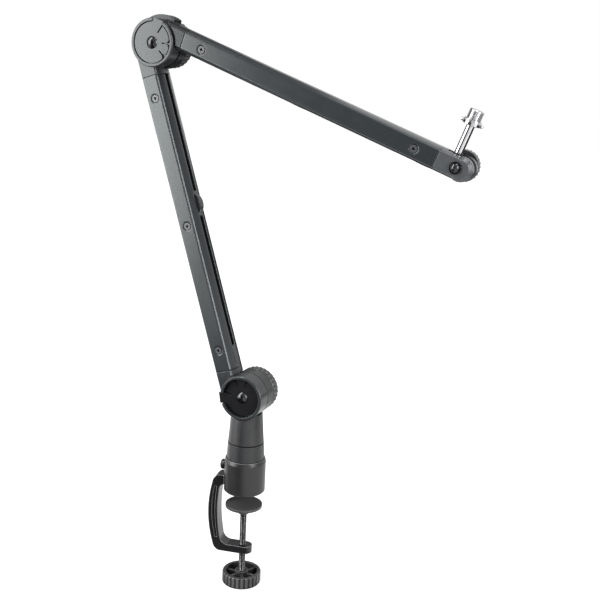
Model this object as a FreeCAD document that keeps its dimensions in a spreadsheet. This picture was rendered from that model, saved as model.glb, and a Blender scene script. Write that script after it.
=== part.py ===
"""Microphone boom arm, modelled in millimetres as separate named pieces.

The frame's origin is on the swivel axis at the underside of the clamp's socket, +Z is up and the arms fold in
the XZ plane.  Every driving size is a named cell of the Sizes sheet, and the shapes are bound to the cells.
"""
import FreeCAD
import Part
import math
import os
from dataclasses import dataclass

import Sketcher
from FreeCAD import Placement, Rotation, Vector

SIZES = {
    # Posture in the photograph, in degrees
    "lower_lean": 17.35,
    "upper_droop": 20.16,
    "clamp_turn": 9.5,
    # Fits, radial or per face
    "fit_gap": 0.05,
    "seat_gap": 0.3,
    "turn_gap": 0.7,
    # How far a cutting tool or a joined piece runs past a face
    "cut_margin": 1.0,
    # Arms
    "lower_length": 420.0,
    "upper_length": 375.0,
    "arm_outer": 25.5,
    "outer_crown_height": 2.5,
    "inner_crest": 2.2,
    "inner_shoulder": 5.9,
    "arm_bevel": 1.6,
    "arm_half_depth": 15.8,
    "arm_edge_round": 1.2,
    "arm_wall": 3.0,
    "channel_wall": 2.0,
    "channel_half": 3.5,
    "channel_depth": 12.0,
    "channel_floor": 2.0,
    "end_seam": 34.0,
    "tip_seam": 21.5,
    "plug_length": 34.0,
    "screw_back": 60.0,
    "tip_screw_back": 48.0,
    "screw_offset": 15.4,
    "screw_head_radius": 5.3,
    "screw_radius": 2.5,
    "screw_length": 9.0,
    "mid_block_length": 36.0,
    # Cable clips
    "clip_plate": 2.4,
    "clip_leg": 1.2,
    "clip_leg_depth": 8.0,
    "clip_crown": 0.3,
    "mid_clip_bump": 4.8,
    "clip_bump_margin": 3.5,
    "mid_clip_length": 29.4,
    "lower_mid_clip": 218.6,
    "upper_mid_clip": 172.0,
    "end_clip_length": 27.4,
    # Hinges
    "hinge_height": 122.0,
    "hinge_radius": 27.0,
    "drum_face": 19.6,
    "drum_chamfer": 0.9,
    "lap_half": 0.5,
    "neck_relief": 6.0,
    "rim_width": 3.4,
    "lower_recess_depth": 6.4,
    "elbow_recess_depth": 2.8,
    "plate_thick": 2.2,
    "plate_gap": 1.0,
    "tab_width": 13.0,
    "lower_tab_angle": 172.0,
    "lower_tab_reach": 29.7,
    "elbow_tab_angle": 54.65,
    "elbow_tab_reach": 26.6,
    "slit_width": 1.4,
    "slit_depth": 9.5,
    "slit_corner_radius": 4.0,
    "slit_first_angle": 18.0,
    "slit_second_angle": 75.0,
    "slit_third_angle": 115.0,
    "disc_radius": 28.0,
    "hood_radius": 32.3,
    "hood_chord": 17.0,
    "hood_end": 8.0,
    "friction_radius": 22.0,
    "hinge_bolt_radius": 4.0,
    "hinge_head_radius": 7.1,
    "hinge_head_height": 3.6,
    "hinge_bolt_end": 26.5,
    "spring_washer_radius": 12.0,
    "spring_washer_thick": 0.9,
    "spring_washer_height": 1.7,
    "knob_radius": 26.9,
    "knob_thick": 12.5,
    "knob_teeth": 30.0,
    "knob_groove_radius": 1.9,
    "knob_groove_out": 0.9,
    "knob_chamfer": 1.2,
    "knob_dish_radius": 20.5,
    "knob_dish_depth": 3.0,
    "knob_hub_radius": 10.0,
    "knob_hub_drop": 1.0,
    "insert_radius": 7.0,
    "insert_length": 10.5,
    # Microphone end
    "pivot_offset": 16.0,
    "cheek_forward": 5.0,
    "cheek_chamfer": 3.6,
    "fork_slot": 10.8,
    "fork_slot_back": 17.0,
    "pivot_washer": 0.4,
    "mic_bolt_radius": 3.0,
    "mic_head_radius": 5.0,
    "mic_head_height": 3.0,
    "mic_washer_radius": 6.6,
    "mic_washer_thick": 1.2,
    "mic_spring_radius": 9.0,
    "mic_spring_thick": 0.7,
    "mic_spring_height": 1.2,
    "mic_knob_radius": 17.2,
    "mic_knob_thick": 9.5,
    "mic_knob_teeth": 25.0,
    "mic_groove_radius": 1.5,
    "mic_groove_out": 0.7,
    "mic_knob_chamfer": 0.9,
    "mic_dish_radius": 12.5,
    "mic_dish_depth": 2.0,
    "mic_hub_radius": 7.0,
    "mic_hub_drop": 0.7,
    "mic_insert_radius": 5.0,
    "mic_insert_length": 8.0,
    "mic_bolt_end": 24.0,
    "block_radius": 11.5,
    "block_height": 12.6,
    "rod_back": 6.3,
    "rod_radius": 4.45,
    "rod_top": 43.2,
    "tenon_radius": 2.8,
    "tenon_foot": 4.0,
    "stud_radius": 7.9375,
    "stud_pitch_radius": 7.63,
    "stud_foot": 43.2,
    "stud_top": 59.6,
    "stud_chamfer": 0.9,
    "stud_socket_depth": 6.0,
    "stud_neck_radius": 6.6,
    "nut_low": 44.0,
    "nut_high": 49.6,
    "nut_radius": 9.8,
    "nut_top_radius": 9.0,
    "ear_reach": 11.6,
    "ear_radius": 1.9,
    "ear_height": 46.0,
    # Column and swivel
    "split_height": 62.8,
    "column_foot_radius": 21.5,
    "column_mid_rise": 13.2,
    "column_mid_radius": 20.4,
    "column_neck_drop": 28.0,
    "column_neck_radius": 19.2,
    "column_top_radius": 18.0,
    "column_shoulder_drop": 22.0,
    "column_chamfer": 0.8,
    "thrust_washer_thick": 0.8,
    "thrust_washer_inset": 0.7,
    "spigot_radius": 7.0,
    "spigot_foot": 8.0,
    "spigot_cover": 6.3,
    "spigot_ring_radius": 10.5,
    "spigot_ring_thick": 1.4,
    "spigot_groove": 0.9,
    # Socket, bush and lock screw
    "socket_radius": 25.0,
    "socket_height": 42.3,
    "socket_round": 1.2,
    "socket_chamfer": 4.1,
    "socket_top_radius": 23.9,
    "socket_floor": 5.0,
    "bush_radius": 19.5,
    "bush_foot": 14.0,
    "bush_collar_radius": 22.8,
    "bush_top_radius": 21.7,
    "lock_height": 29.3,
    "lock_radius": 3.0,
    "lock_head_radius": 6.2,
    "lock_head_reach": 30.0,
    "lock_key_radius": 2.6,
    "lock_key_depth": 2.4,
    # Clamp frame, distances back from the swivel axis and heights
    "frame_width": 17.0,
    "limb_top": 18.0,
    "limb_under": 6.5,
    "limb_root": 21.0,
    "limb_shoulder": 31.0,
    "back_top_reach": 38.4,
    "back_top_height": 8.0,
    "back_bow_radius": 150.0,
    "back_low_reach": 36.4,
    "back_low_height": -72.5,
    "heel_radius": 11.0,
    "heel_reach": 28.0,
    "shoulder_radius": 12.0,
    "throat_top_reach": 29.6,
    "throat_top_height": -1.0,
    "throat_low_reach": 27.6,
    "throat_low_height": -62.0,
    "throat_corner_radius": 11.0,
    "throat_foot_reach": 18.0,
    "throat_head_reach": 23.5,
    "throat_head_radius": 8.0,
    "throat_bow_radius": 200.0,
    "jaw_top": -72.8,
    "jaw_under": -81.8,
    "jaw_nose": 3.5,
    "web_depth": 2.6,
    "web_flange": 3.1,
    "web_top_height": 3.0,
    "web_low_height": -64.0,
    # Clamp screw, pad and knob
    "pad_top": -18.1,
    "pad_radius": 22.5,
    "pad_rim": 1.2,
    "pad_thick": 3.3,
    "pad_face_thick": 1.5,
    "pad_hub_radius": 8.0,
    "pad_hub_length": 8.0,
    "screw_major_radius": 4.0,
    "keeper_radius": 6.4,
    "keeper_thick": 1.4,
    "keeper_groove": 0.7,
    "cup_top": -107.8,
    "cup_under": -122.3,
    "cup_radius": 23.8,
    "cup_wall": 4.2,
    "cup_floor": 3.0,
    "cup_hub_radius": 8.2,
    "cup_spoke_width": 2.6,
    "cup_spoke_drop": 3.0,
    "cup_spokes": 6.0,
    "cup_flutes": 26.0,
    "cup_flute_radius": 2.0,
    "cup_flute_out": 1.0,
    "cup_chamfer": 1.0,
}


class Size:
    """A length or angle that carries its number and the sheet expression that drives it."""

    def __init__(self, value, text):
        self.value = float(value)
        self.text = text

    def _with(self, other, sign, value, swap=False):
        first, second = (other, self) if swap else (self, other)
        return Size(value(first.value, second.value), f"({first.text} {sign} {second.text})")

    def __add__(self, other):
        return self._with(as_size(other), "+", lambda a, b: a + b)

    def __radd__(self, other):
        return self._with(as_size(other), "+", lambda a, b: a + b, True)

    def __sub__(self, other):
        return self._with(as_size(other), "-", lambda a, b: a - b)

    def __rsub__(self, other):
        return self._with(as_size(other), "-", lambda a, b: a - b, True)

    def __mul__(self, other):
        return self._with(as_size(other), "*", lambda a, b: a * b)

    def __rmul__(self, other):
        return self._with(as_size(other), "*", lambda a, b: a * b, True)

    def __truediv__(self, other):
        return self._with(as_size(other), "/", lambda a, b: a / b)

    def __neg__(self):
        return Size(-self.value, f"(0 - {self.text})")

    @property
    def bound(self):
        """True when the expression names at least one cell of the sheet."""
        return "Sizes." in self.text


def as_size(value):
    """Return a Size for a Size or a plain number."""
    if isinstance(value, Size):
        return value
    return Size(value, repr(float(value)))


def sine(angle):
    """Return the sine of an angle in degrees."""
    return Size(math.sin(math.radians(angle.value)), f"sin({angle.text})")


def cosine(angle):
    """Return the cosine of an angle in degrees."""
    return Size(math.cos(math.radians(angle.value)), f"cos({angle.text})")


class Sheet:
    """The spreadsheet of driving sizes; each attribute is the Size of one cell."""

    def __init__(self, doc, values):
        sheet = doc.addObject("Spreadsheet::Sheet", "Sizes")
        for row, (name, value) in enumerate(values.items(), start=1):
            sheet.set(f"A{row}", name)
            sheet.set(f"B{row}", repr(value))
            sheet.setAlias(f"B{row}", name)
            setattr(self, name, Size(value, f"Sizes.{name}"))


DOC = FreeCAD.newDocument("boom_arm")
S = Sheet(DOC, SIZES)
DOC.recompute()
ZERO = as_size(0)
NODES = []
FULL_TURN = 360.0
QUARTER_TURN = 90.0
# Points closer than this count as one when edges are picked
SAME_POINT = 0.02


@dataclass
class Bow:
    """An arc that leaves a corner of an outline; turn is +1 counter-clockwise and -1 clockwise."""

    radius: Size
    turn: int


@dataclass
class Frame:
    """Where a group of pieces stands: a point, an axis and a turn about it in degrees."""

    x: Size
    y: Size
    z: Size
    axis: Vector
    angle: Size


def bind(obj, prop, size):
    """Drive one property of an object by a Size."""
    if size.bound:
        obj.setExpression(prop, size.text)


def place(obj, x=ZERO, y=ZERO, z=ZERO, axis=Vector(0, 0, 1), angle=ZERO):
    """Place an object at a point, turned about an axis, and bind what the sheet drives."""
    x, y, z, angle = (as_size(v) for v in (x, y, z, angle))
    obj.Placement = Placement(Vector(x.value, y.value, z.value), Rotation(axis, angle.value))
    bind(obj, "Placement.Base.x", x)
    bind(obj, "Placement.Base.y", y)
    bind(obj, "Placement.Base.z", z)
    bind(obj, "Placement.Rotation.Angle", angle)
    return obj


ALONG_Y = {"axis": Vector(1, 0, 0), "angle": as_size(-QUARTER_TURN)}
ALONG_BACK = {"axis": Vector(0, 1, 0), "angle": as_size(-QUARTER_TURN)}


def plane_of(body, role):
    """Return the origin plane or axis of a body by its role."""
    return next(item for item in body.Origin.OriginFeatures if item.Role == role)


def arc_between(start, end, bow):
    """Return the arc from start to end with the bow's radius and turn."""
    chord = end - start
    half = chord.Length / 2
    left = Vector(-chord.y, chord.x, 0).normalize()
    rise = math.sqrt(bow.radius.value ** 2 - half ** 2) * bow.turn
    centre = (start + end) * 0.5 + left * rise
    circle = Part.Circle(centre, Vector(0, 0, 1), bow.radius.value)
    first, last = (start, end) if bow.turn > 0 else (end, start)
    angles = [math.atan2(p.y - centre.y, p.x - centre.x) for p in (first, last)]
    return Part.ArcOfCircle(circle, angles[0], angles[1])


def draw_loop(sketch, corners):
    """Draw one closed loop of lines and bows and fix each of its corners to the sheet."""
    offset = sketch.GeometryCount
    count = len(corners)
    points = [Vector(as_size(c[0]).value, as_size(c[1]).value, 0) for c in corners]
    ends = []
    for index, corner in enumerate(corners):
        start, end = points[index], points[(index + 1) % count]
        bow = corner[2] if len(corner) > 2 else None
        if bow is None:
            sketch.addGeometry(Part.LineSegment(start, end), False)
        else:
            sketch.addGeometry(arc_between(start, end, bow), False)
        ends.append((1, 2) if bow is None or bow.turn > 0 else (2, 1))
    for index in range(count):
        follower = (index + 1) % count
        sketch.addConstraint(Sketcher.Constraint(
            "Coincident", offset + index, ends[index][1], offset + follower, ends[follower][0]))
    for index, corner in enumerate(corners):
        for kind, size in (("DistanceX", as_size(corner[0])), ("DistanceY", as_size(corner[1]))):
            number = sketch.addConstraint(Sketcher.Constraint(
                kind, -1, 1, offset + index, ends[index][0], size.value))
            bind(sketch, f"Constraints[{number}]", size)
        if len(corner) > 2:
            radius = corner[2].radius
            number = sketch.addConstraint(Sketcher.Constraint("Radius", offset + index, radius.value))
            bind(sketch, f"Constraints[{number}]", radius)


def new_sketch(body, role, loops, name):
    """Add a sketch on one of the body's origin planes with the given loops."""
    sketch = body.newObject("Sketcher::SketchObject", name)
    sketch.AttachmentSupport = (plane_of(body, role), [""])
    sketch.MapMode = "FlatFace"
    for loop in loops:
        draw_loop(sketch, loop)
    return sketch


def turned(name, corners):
    """Return a body turned about Z from a profile of (radius, height) corners."""
    body = DOC.addObject("PartDesign::Body", name)
    sketch = new_sketch(body, "XZ_Plane", [corners], name + "_profile")
    revolution = body.newObject("PartDesign::Revolution", name + "_turn")
    revolution.Profile = sketch
    revolution.ReferenceAxis = (sketch, ["V_Axis"])
    revolution.Angle = FULL_TURN
    DOC.recompute()
    return body


def prism(name, loops, low, high, rounds=(), radius=None):
    """Return a body padded along Z between two heights, with some upright edges rounded."""
    body = DOC.addObject("PartDesign::Body", name)
    sketch = new_sketch(body, "XY_Plane", loops, name + "_profile")
    pad = body.newObject("PartDesign::Pad", name + "_pad")
    pad.Profile = sketch
    length = as_size(high) - low
    pad.Length = length.value
    bind(pad, "Length", length)
    DOC.recompute()
    if rounds:
        names = upright_edges(pad.Shape, rounds)
        fillet = body.newObject("PartDesign::Fillet", name + "_round")
        fillet.Base = (pad, names)
        fillet.Radius = radius.value
        bind(fillet, "Radius", radius)
        DOC.recompute()
    return place(body, z=low)


def upright_edges(shape, points):
    """Return the names of the edges along Z that stand at the given (x, y) points."""
    names = []
    for index, edge in enumerate(shape.Edges, start=1):
        first, last = edge.Vertexes[0].Point, edge.Vertexes[-1].Point
        level = math.hypot(first.x - last.x, first.y - last.y) < SAME_POINT
        upright = level and abs(first.z - last.z) > SAME_POINT
        if upright and any(math.hypot(first.x - x.value, first.y - y.value) < SAME_POINT for x, y in points):
            names.append(f"Edge{index}")
    return names


def slab(name, loops, near, far):
    """Return a body padded along Y between two depths from loops of (x, z) corners."""
    body = DOC.addObject("PartDesign::Body", name)
    sketch = new_sketch(body, "XZ_Plane", loops, name + "_profile")
    pad = body.newObject("PartDesign::Pad", name + "_pad")
    pad.Profile = sketch
    length = as_size(far) - near
    pad.Length = length.value
    bind(pad, "Length", length)
    DOC.recompute()
    return place(body, y=far)


def toothed(name, corners, radius, teeth, groove_radius, groove_out):
    """Return a turned body with grooves cut round its rim by a polar pattern."""
    body = turned(name, corners)
    sketch = body.newObject("Sketcher::SketchObject", name + "_groove")
    sketch.AttachmentSupport = (plane_of(body, "XY_Plane"), [""])
    sketch.MapMode = "FlatFace"
    reach = radius + groove_out
    sketch.addGeometry(Part.Circle(Vector(reach.value, 0, 0), Vector(0, 0, 1), groove_radius.value), False)
    number = sketch.addConstraint(Sketcher.Constraint("Radius", 0, groove_radius.value))
    bind(sketch, f"Constraints[{number}]", groove_radius)
    number = sketch.addConstraint(Sketcher.Constraint("DistanceX", -1, 1, 0, 3, reach.value))
    bind(sketch, f"Constraints[{number}]", reach)
    sketch.addConstraint(Sketcher.Constraint("PointOnObject", 0, 3, -1))
    pocket = body.newObject("PartDesign::Pocket", name + "_pocket")
    pocket.Profile = sketch
    pocket.Type = "ThroughAll"
    pocket.SideType = "Symmetric"
    DOC.recompute()
    pattern = body.newObject("PartDesign::PolarPattern", name + "_pattern")
    pattern.Originals = [pocket]
    pattern.Axis = (plane_of(body, "Z_Axis"), [""])
    pattern.Angle = FULL_TURN
    pattern.Occurrences = int(teeth.value)
    bind(pattern, "Occurrences", teeth)
    body.Tip = pattern
    DOC.recompute()
    return body


def primitive(kind, name, **dims):
    """Add a Part primitive and bind its dimensions."""
    obj = DOC.addObject(kind, name)
    for prop, size in dims.items():
        size = as_size(size)
        setattr(obj, prop, size.value)
        bind(obj, prop, size)
    return obj


def box(name, x0, x1, y0, y1, z0, z1):
    """Return a box between two corners."""
    x0, x1, y0, y1, z0, z1 = (as_size(v) for v in (x0, x1, y0, y1, z0, z1))
    obj = primitive("Part::Box", name, Length=x1 - x0, Width=y1 - y0, Height=z1 - z0)
    return place(obj, x0, y0, z0)


def drum(name, radius, near, far, x=ZERO, z=ZERO):
    """Return a cylinder along Y between two depths."""
    obj = primitive("Part::Cylinder", name, Radius=radius, Height=as_size(far) - near)
    return place(obj, x, near, z, **ALONG_Y)


def post(name, radius, low, high, x=ZERO, y=ZERO):
    """Return a cylinder along Z between two heights."""
    obj = primitive("Part::Cylinder", name, Radius=radius, Height=as_size(high) - low)
    return place(obj, x, y, low)


def spoke(name, angle, inner, outer, width, near, far, z=ZERO):
    """Return a box that runs outward in the XZ plane at an angle from +X towards +Z."""
    obj = primitive("Part::Box", name, Length=as_size(outer) - inner, Width=as_size(far) - near, Height=width)
    half = width / 2
    x_base = inner * cosine(angle) + half * sine(angle)
    z_base = inner * sine(angle) - half * cosine(angle)
    return place(obj, x_base, near, z + z_base, Vector(0, 1, 0), -angle)


def joined(name, pieces):
    """Return the fusion of some pieces."""
    obj = DOC.addObject("Part::MultiFuse", name)
    obj.Shapes = list(pieces)
    obj.Refine = True
    DOC.recompute()
    return obj


def cut(name, base, tools):
    """Return a piece with each tool cut away in turn."""
    for index, tool in enumerate(tools, start=1):
        obj = DOC.addObject("Part::Cut", f"{name}_{index}")
        obj.Base = base
        obj.Tool = tool
        obj.Refine = True
        base = obj
    DOC.recompute()
    return base


def common(name, base, tool):
    """Return what two pieces share."""
    obj = DOC.addObject("Part::Common", name)
    obj.Base = base
    obj.Tool = tool
    DOC.recompute()
    return obj


def node(label, pieces, frame=None):
    """Keep a finished piece, or a group of like pieces, as a named node placed in its frame."""
    pieces = pieces if isinstance(pieces, list) else [pieces]
    obj = DOC.addObject("Part::Compound", label)
    obj.Links = pieces
    if frame is not None:
        place(obj, frame.x, frame.y, frame.z, frame.axis, frame.angle)
    NODES.append((label, obj))
    return obj


LOWER = Frame(ZERO, ZERO, S.hinge_height, Vector(0, 1, 0), -S.lower_lean)
ELBOW_X = -(S.lower_length * sine(S.lower_lean))
ELBOW_Z = S.hinge_height + S.lower_length * cosine(S.lower_lean)
UPPER = Frame(ELBOW_X, ZERO, ELBOW_Z, Vector(0, 1, 0), S.upper_droop + QUARTER_TURN)
CLAMP = Frame(ZERO, ZERO, ZERO, Vector(0, 0, 1), S.clamp_turn)


def bow_radius(half_chord, height):
    """Return the radius of an arc that rises by a height over a chord."""
    return (half_chord * half_chord + height * height) / (height * 2)


OUTER_X = -S.arm_outer
SHOULDER_X = -S.inner_shoulder
SHOULDER_Y = S.arm_half_depth - S.arm_bevel
INNER_BOW_RADIUS = bow_radius(SHOULDER_Y, S.inner_shoulder - S.inner_crest)
MOUTH_X = -S.inner_crest - S.channel_half * S.channel_half / (INNER_BOW_RADIUS * 2)
CHANNEL_FLOOR_X = MOUTH_X - S.channel_depth
BOLT_HOLE = S.hinge_bolt_radius + S.fit_gap
KNOB_FACE = S.arm_half_depth + S.spring_washer_height
PLATE_RADIUS = S.hinge_radius - S.rim_width - S.plate_gap
CHEEK_RADIUS = (S.arm_outer + S.outer_crown_height - S.inner_crest) / 2
SPIGOT_TOP = S.hinge_height - S.hinge_radius - S.turn_gap - S.spigot_cover


def arm_corners(with_channel):
    """Return the arm's outline as (x, y) corners: crowned sides, bevels and the cable channel."""
    depth = S.arm_half_depth
    half = S.channel_half
    outer_bow = Bow(bow_radius(depth, S.outer_crown_height), 1)
    inner_bow = Bow(INNER_BOW_RADIUS, 1)
    channel = [
        (MOUTH_X, -half),
        (CHANNEL_FLOOR_X, -half),
        (CHANNEL_FLOOR_X, half),
        (MOUTH_X, half, inner_bow),
    ]
    return [
        (OUTER_X, -depth),
        (SHOULDER_X - S.arm_bevel, -depth),
        (SHOULDER_X, -SHOULDER_Y, inner_bow),
        *(channel if with_channel else []),
        (SHOULDER_X, SHOULDER_Y),
        (SHOULDER_X - S.arm_bevel, depth),
        (OUTER_X, depth, outer_bow),
    ]


def arm_edges():
    """Return the two outer corners of the arm's outline."""
    return [(OUTER_X, -S.arm_half_depth), (OUTER_X, S.arm_half_depth)]


def rectangle(x0, x1, y0, y1):
    """Return the four corners of a rectangle."""
    return [(x0, y0), (x1, y0), (x1, y1), (x0, y1)]


CHAMBER = (
    OUTER_X + S.arm_wall,
    SHOULDER_X - S.arm_wall,
    S.arm_wall - S.arm_half_depth,
    -S.channel_half - S.channel_wall,
)


def chamber_fill(name, low, high):
    """Return a block that fits the extrusion's near chamber between two heights."""
    gap = S.fit_gap
    x0, x1, y0, y1 = CHAMBER
    return box(name, x0 + gap, x1 - gap, y0 + gap, y1 - gap, low, high)


def screw_tools(name, heights):
    """Return holes for countersunk screws at some heights of an arm."""
    tools = []
    for index, height in enumerate(heights, start=1):
        head = S.screw_head_radius + S.fit_gap
        slope = head - S.screw_radius
        cone = primitive("Part::Cone", f"{name}_sink_{index}", Radius1=head, Radius2=S.screw_radius,
                         Height=slope)
        place(cone, -S.screw_offset, -S.arm_half_depth, height, **ALONG_Y)
        far = S.screw_length + S.seat_gap - S.arm_half_depth
        hole = drum(f"{name}_hole_{index}", S.screw_radius + S.fit_gap, -S.arm_half_depth, far,
                    -S.screw_offset, height)
        tools += [cone, hole]
    return tools


def arm_screws(label, heights, frame):
    """Model the countersunk screws of an arm as one group."""
    pieces = []
    slope = S.screw_head_radius - S.screw_radius
    for index, height in enumerate(heights, start=1):
        screw = turned(f"{label}_{index}", [
            (0, 0),
            (S.screw_head_radius, 0),
            (S.screw_radius, slope),
            (S.screw_radius, S.screw_length),
            (0, S.screw_length),
        ])
        place(screw, -S.screw_offset, -S.arm_half_depth, height, **ALONG_Y)
        pieces.append(screw)
    node(label, pieces, frame)


def extrusion(label, low, high, screw_heights, frame):
    """Model an arm's extrusion: two side chambers, one behind, and an open cable channel between them."""
    x0, x1, y0, y1 = CHAMBER
    near = rectangle(x0, x1, y0, y1)
    far = rectangle(x0, x1, -y1, -y0)
    rear = rectangle(x0, CHANNEL_FLOOR_X - S.channel_floor, -S.channel_half, S.channel_half)
    loops = [arm_corners(True), near, rear, far]
    body = prism(label + "_body", loops, low, high, arm_edges(), S.arm_edge_round)
    node(label, cut(label + "_drilled", body, screw_tools(label, screw_heights)), frame)


def cable_clip(label, low, length, bump, frame):
    """Model a clip that bridges the cable channel: a plate with a crowned middle and two legs."""
    gap = S.fit_gap
    high = low + length
    bump_low = low + S.clip_bump_margin
    bump_high = high - S.clip_bump_margin
    bump_radius = bow_radius((length - S.clip_bump_margin * 2) / 2, bump)
    near, far = gap - S.channel_half, S.channel_half - gap
    plate = slab(label + "_plate", [[
        (MOUTH_X - S.clip_plate, low),
        (MOUTH_X, low),
        (MOUTH_X, bump_low, Bow(bump_radius, 1)),
        (MOUTH_X, bump_high),
        (MOUTH_X, high),
        (MOUTH_X - S.clip_plate, high),
    ]], near, far)
    leg_foot = MOUTH_X - S.clip_leg_depth
    leg_head = MOUTH_X - S.clip_plate / 2
    legs = [
        box(label + "_near_leg", leg_foot, leg_head, near, near + S.clip_leg, low, high),
        box(label + "_far_leg", leg_foot, leg_head, far - S.clip_leg, far, low, high),
    ]
    node(label, joined(label + "_solid", [plate, *legs]), frame)


def neck(name, low, high):
    """Return a stretch of the arm's full outline for an end fitting."""
    return prism(name, [arm_corners(False)], low, high, arm_edges(), S.arm_edge_round)


@dataclass
class Hinge:
    """One arm hinge: its height on the lower arm, its recess and the tab of its key plate."""

    height: Size
    recess: Size
    tab_angle: Size
    tab_reach: Size

    @property
    def floor(self):
        """Depth of the recess floor, on which the key plate lies."""
        return S.drum_face - self.recess

    @property
    def face(self):
        """Depth of the key plate's outer face, on which the bolt's head seats."""
        return self.floor + S.plate_thick


LOWER_HINGE = Hinge(ZERO, S.lower_recess_depth, S.lower_tab_angle, S.lower_tab_reach)
ELBOW_HINGE = Hinge(S.lower_length, S.elbow_recess_depth, S.elbow_tab_angle, S.elbow_tab_reach)


def hood_sweep(name, hinge):
    """Return the room that the upper arm's hood sweeps beside the outer wall of the lower arm."""
    reach = S.arm_half_depth + S.cut_margin
    path = drum(name + "_path", S.hood_radius + S.turn_gap, -S.lap_half, reach, ZERO, hinge.height)
    flank = box(name + "_flank", -S.arm_outer * 2, -S.hood_chord, -S.lap_half, reach,
                hinge.height - S.end_seam, hinge.height)
    return common(name, path, flank)


def drum_fitting(label, hinge, side, far_radius, screw_height, sweeps=()):
    """Model an end fitting of the lower arm: near-half drum, neck and plug.

    The drum's rim and recess take the key plate, and the far half is cut back for the piece that turns there.
    Beside the hinge the neck's crown is relieved to the drum's radius, so that it clears the same piece.
    """
    margin = S.cut_margin
    seam = hinge.height + S.end_seam * side
    plug_end = seam + S.plug_length * side
    low, high = (hinge.height, seam) if side > 0 else (seam, hinge.height)
    plug_low, plug_high = (seam - margin, plug_end) if side > 0 else (plug_end, seam + margin)
    chamfer = S.drum_chamfer
    rim = S.hinge_radius - S.rim_width
    shell = turned(label + "_drum", [
        (0, -hinge.floor),
        (rim, -hinge.floor),
        (rim, -S.drum_face),
        (S.hinge_radius - chamfer, -S.drum_face),
        (S.hinge_radius, chamfer - S.drum_face),
        (S.hinge_radius, -S.lap_half),
        (0, -S.lap_half),
    ])
    place(shell, ZERO, ZERO, hinge.height, **ALONG_Y)
    stem = neck(label + "_neck", low, high)
    reach = S.arm_half_depth + margin
    relief_end = hinge.height + S.neck_relief * side
    relief_low, relief_high = (low, relief_end) if side > 0 else (relief_end, high)
    cleared = cut(label + "_stem", stem, [
        box(label + "_relief", -S.arm_outer * 2, -S.hinge_radius, -reach, reach, relief_low, relief_high),
        drum(label + "_far", far_radius + S.turn_gap, -S.lap_half, reach, ZERO, hinge.height),
        drum(label + "_core", S.hinge_radius - S.rim_width / 2, -reach, ZERO, ZERO, hinge.height),
        *sweeps,
    ])
    plug = chamber_fill(label + "_plug", plug_low, plug_high)
    solid = joined(label + "_solid", [shell, cleared, plug])
    notch_width = S.tab_width + S.seat_gap * 2
    tools = [
        drum(label + "_bore", BOLT_HOLE, -S.drum_face, S.lap_half, ZERO, hinge.height),
        spoke(label + "_notch", hinge.tab_angle, S.hinge_bolt_radius, hinge.tab_reach + S.seat_gap,
              notch_width, -S.drum_face - margin, -hinge.floor, hinge.height),
        *screw_tools(label, [screw_height]),
    ]
    node(label, cut(label + "_cut", solid, tools), LOWER)


def rounded_mouths(name, base, hinge):
    """Round the corners where the slits of a key plate open on its rim, but not those beside the tab."""
    obj = DOC.addObject("Part::Fillet", name)
    obj.Base = base
    radius = S.slit_corner_radius.value
    tab_half = math.degrees(math.asin(S.tab_width.value / 2 / PLATE_RADIUS.value))
    picked = []
    for index, edge in enumerate(base.Shape.Edges, start=1):
        first, last = edge.Vertexes[0].Point, edge.Vertexes[-1].Point
        across, up = first.x, first.z - hinge.height.value
        straight = math.hypot(first.x - last.x, first.z - last.z) < SAME_POINT
        on_rim = abs(math.hypot(across, up) - PLATE_RADIUS.value) < SAME_POINT
        turn = (hinge.tab_angle.value - math.degrees(math.atan2(up, across))) % FULL_TURN
        clear_of_tab = tab_half * 2 < turn < FULL_TURN - tab_half * 2
        if straight and on_rim and clear_of_tab:
            picked.append((index, radius, radius))
    obj.Edges = picked
    DOC.recompute()
    return obj


def key_plate(label, hinge):
    """Model the key plate that closes a drum: a disc with one tab and three slits between rounded lobes."""
    disc = drum(label + "_disc", PLATE_RADIUS, -hinge.face, -hinge.floor, ZERO, hinge.height)
    tab = spoke(label + "_tab", hinge.tab_angle, S.hinge_bolt_radius, hinge.tab_reach, S.tab_width,
                -hinge.face, -hinge.floor, hinge.height)
    tools = [drum(label + "_bore", BOLT_HOLE, -S.drum_face, -hinge.floor, ZERO, hinge.height)]
    slit_end = PLATE_RADIUS - S.slit_depth
    mouth = PLATE_RADIUS + S.cut_margin
    for index, turn in enumerate((S.slit_first_angle, S.slit_second_angle, S.slit_third_angle), start=1):
        tools.append(spoke(f"{label}_slit_{index}", hinge.tab_angle - turn, slit_end, mouth, S.slit_width,
                           -S.drum_face, -hinge.floor, hinge.height))
    plate = cut(label + "_cut", joined(label + "_solid", [disc, tab]), tools)
    node(label, rounded_mouths(label + "_round", plate, hinge), LOWER)


def dome_bolt(name, radius, head_radius, head_height, end):
    """Return a dome-headed bolt along +Z whose head seats at height zero."""
    return turned(name, [
        (0, -head_height, Bow(bow_radius(head_radius, head_height), 1)),
        (head_radius, 0),
        (radius, 0),
        (radius, end),
        (0, end),
    ])


def cone_washer(name, bore, radius, thick, height):
    """Return a conical spring washer whose rim stands at height zero."""
    return turned(name, [
        (bore, height - thick),
        (radius, 0),
        (radius, thick),
        (bore, height),
    ])


def flat_washer(name, bore, radius, near, far, x=ZERO, z=ZERO):
    """Return a flat washer along Y."""
    disc = drum(name + "_disc", radius, near, far, x, z)
    return cut(name, disc, [drum(name + "_bore", bore, near, far, x, z)])


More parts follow.
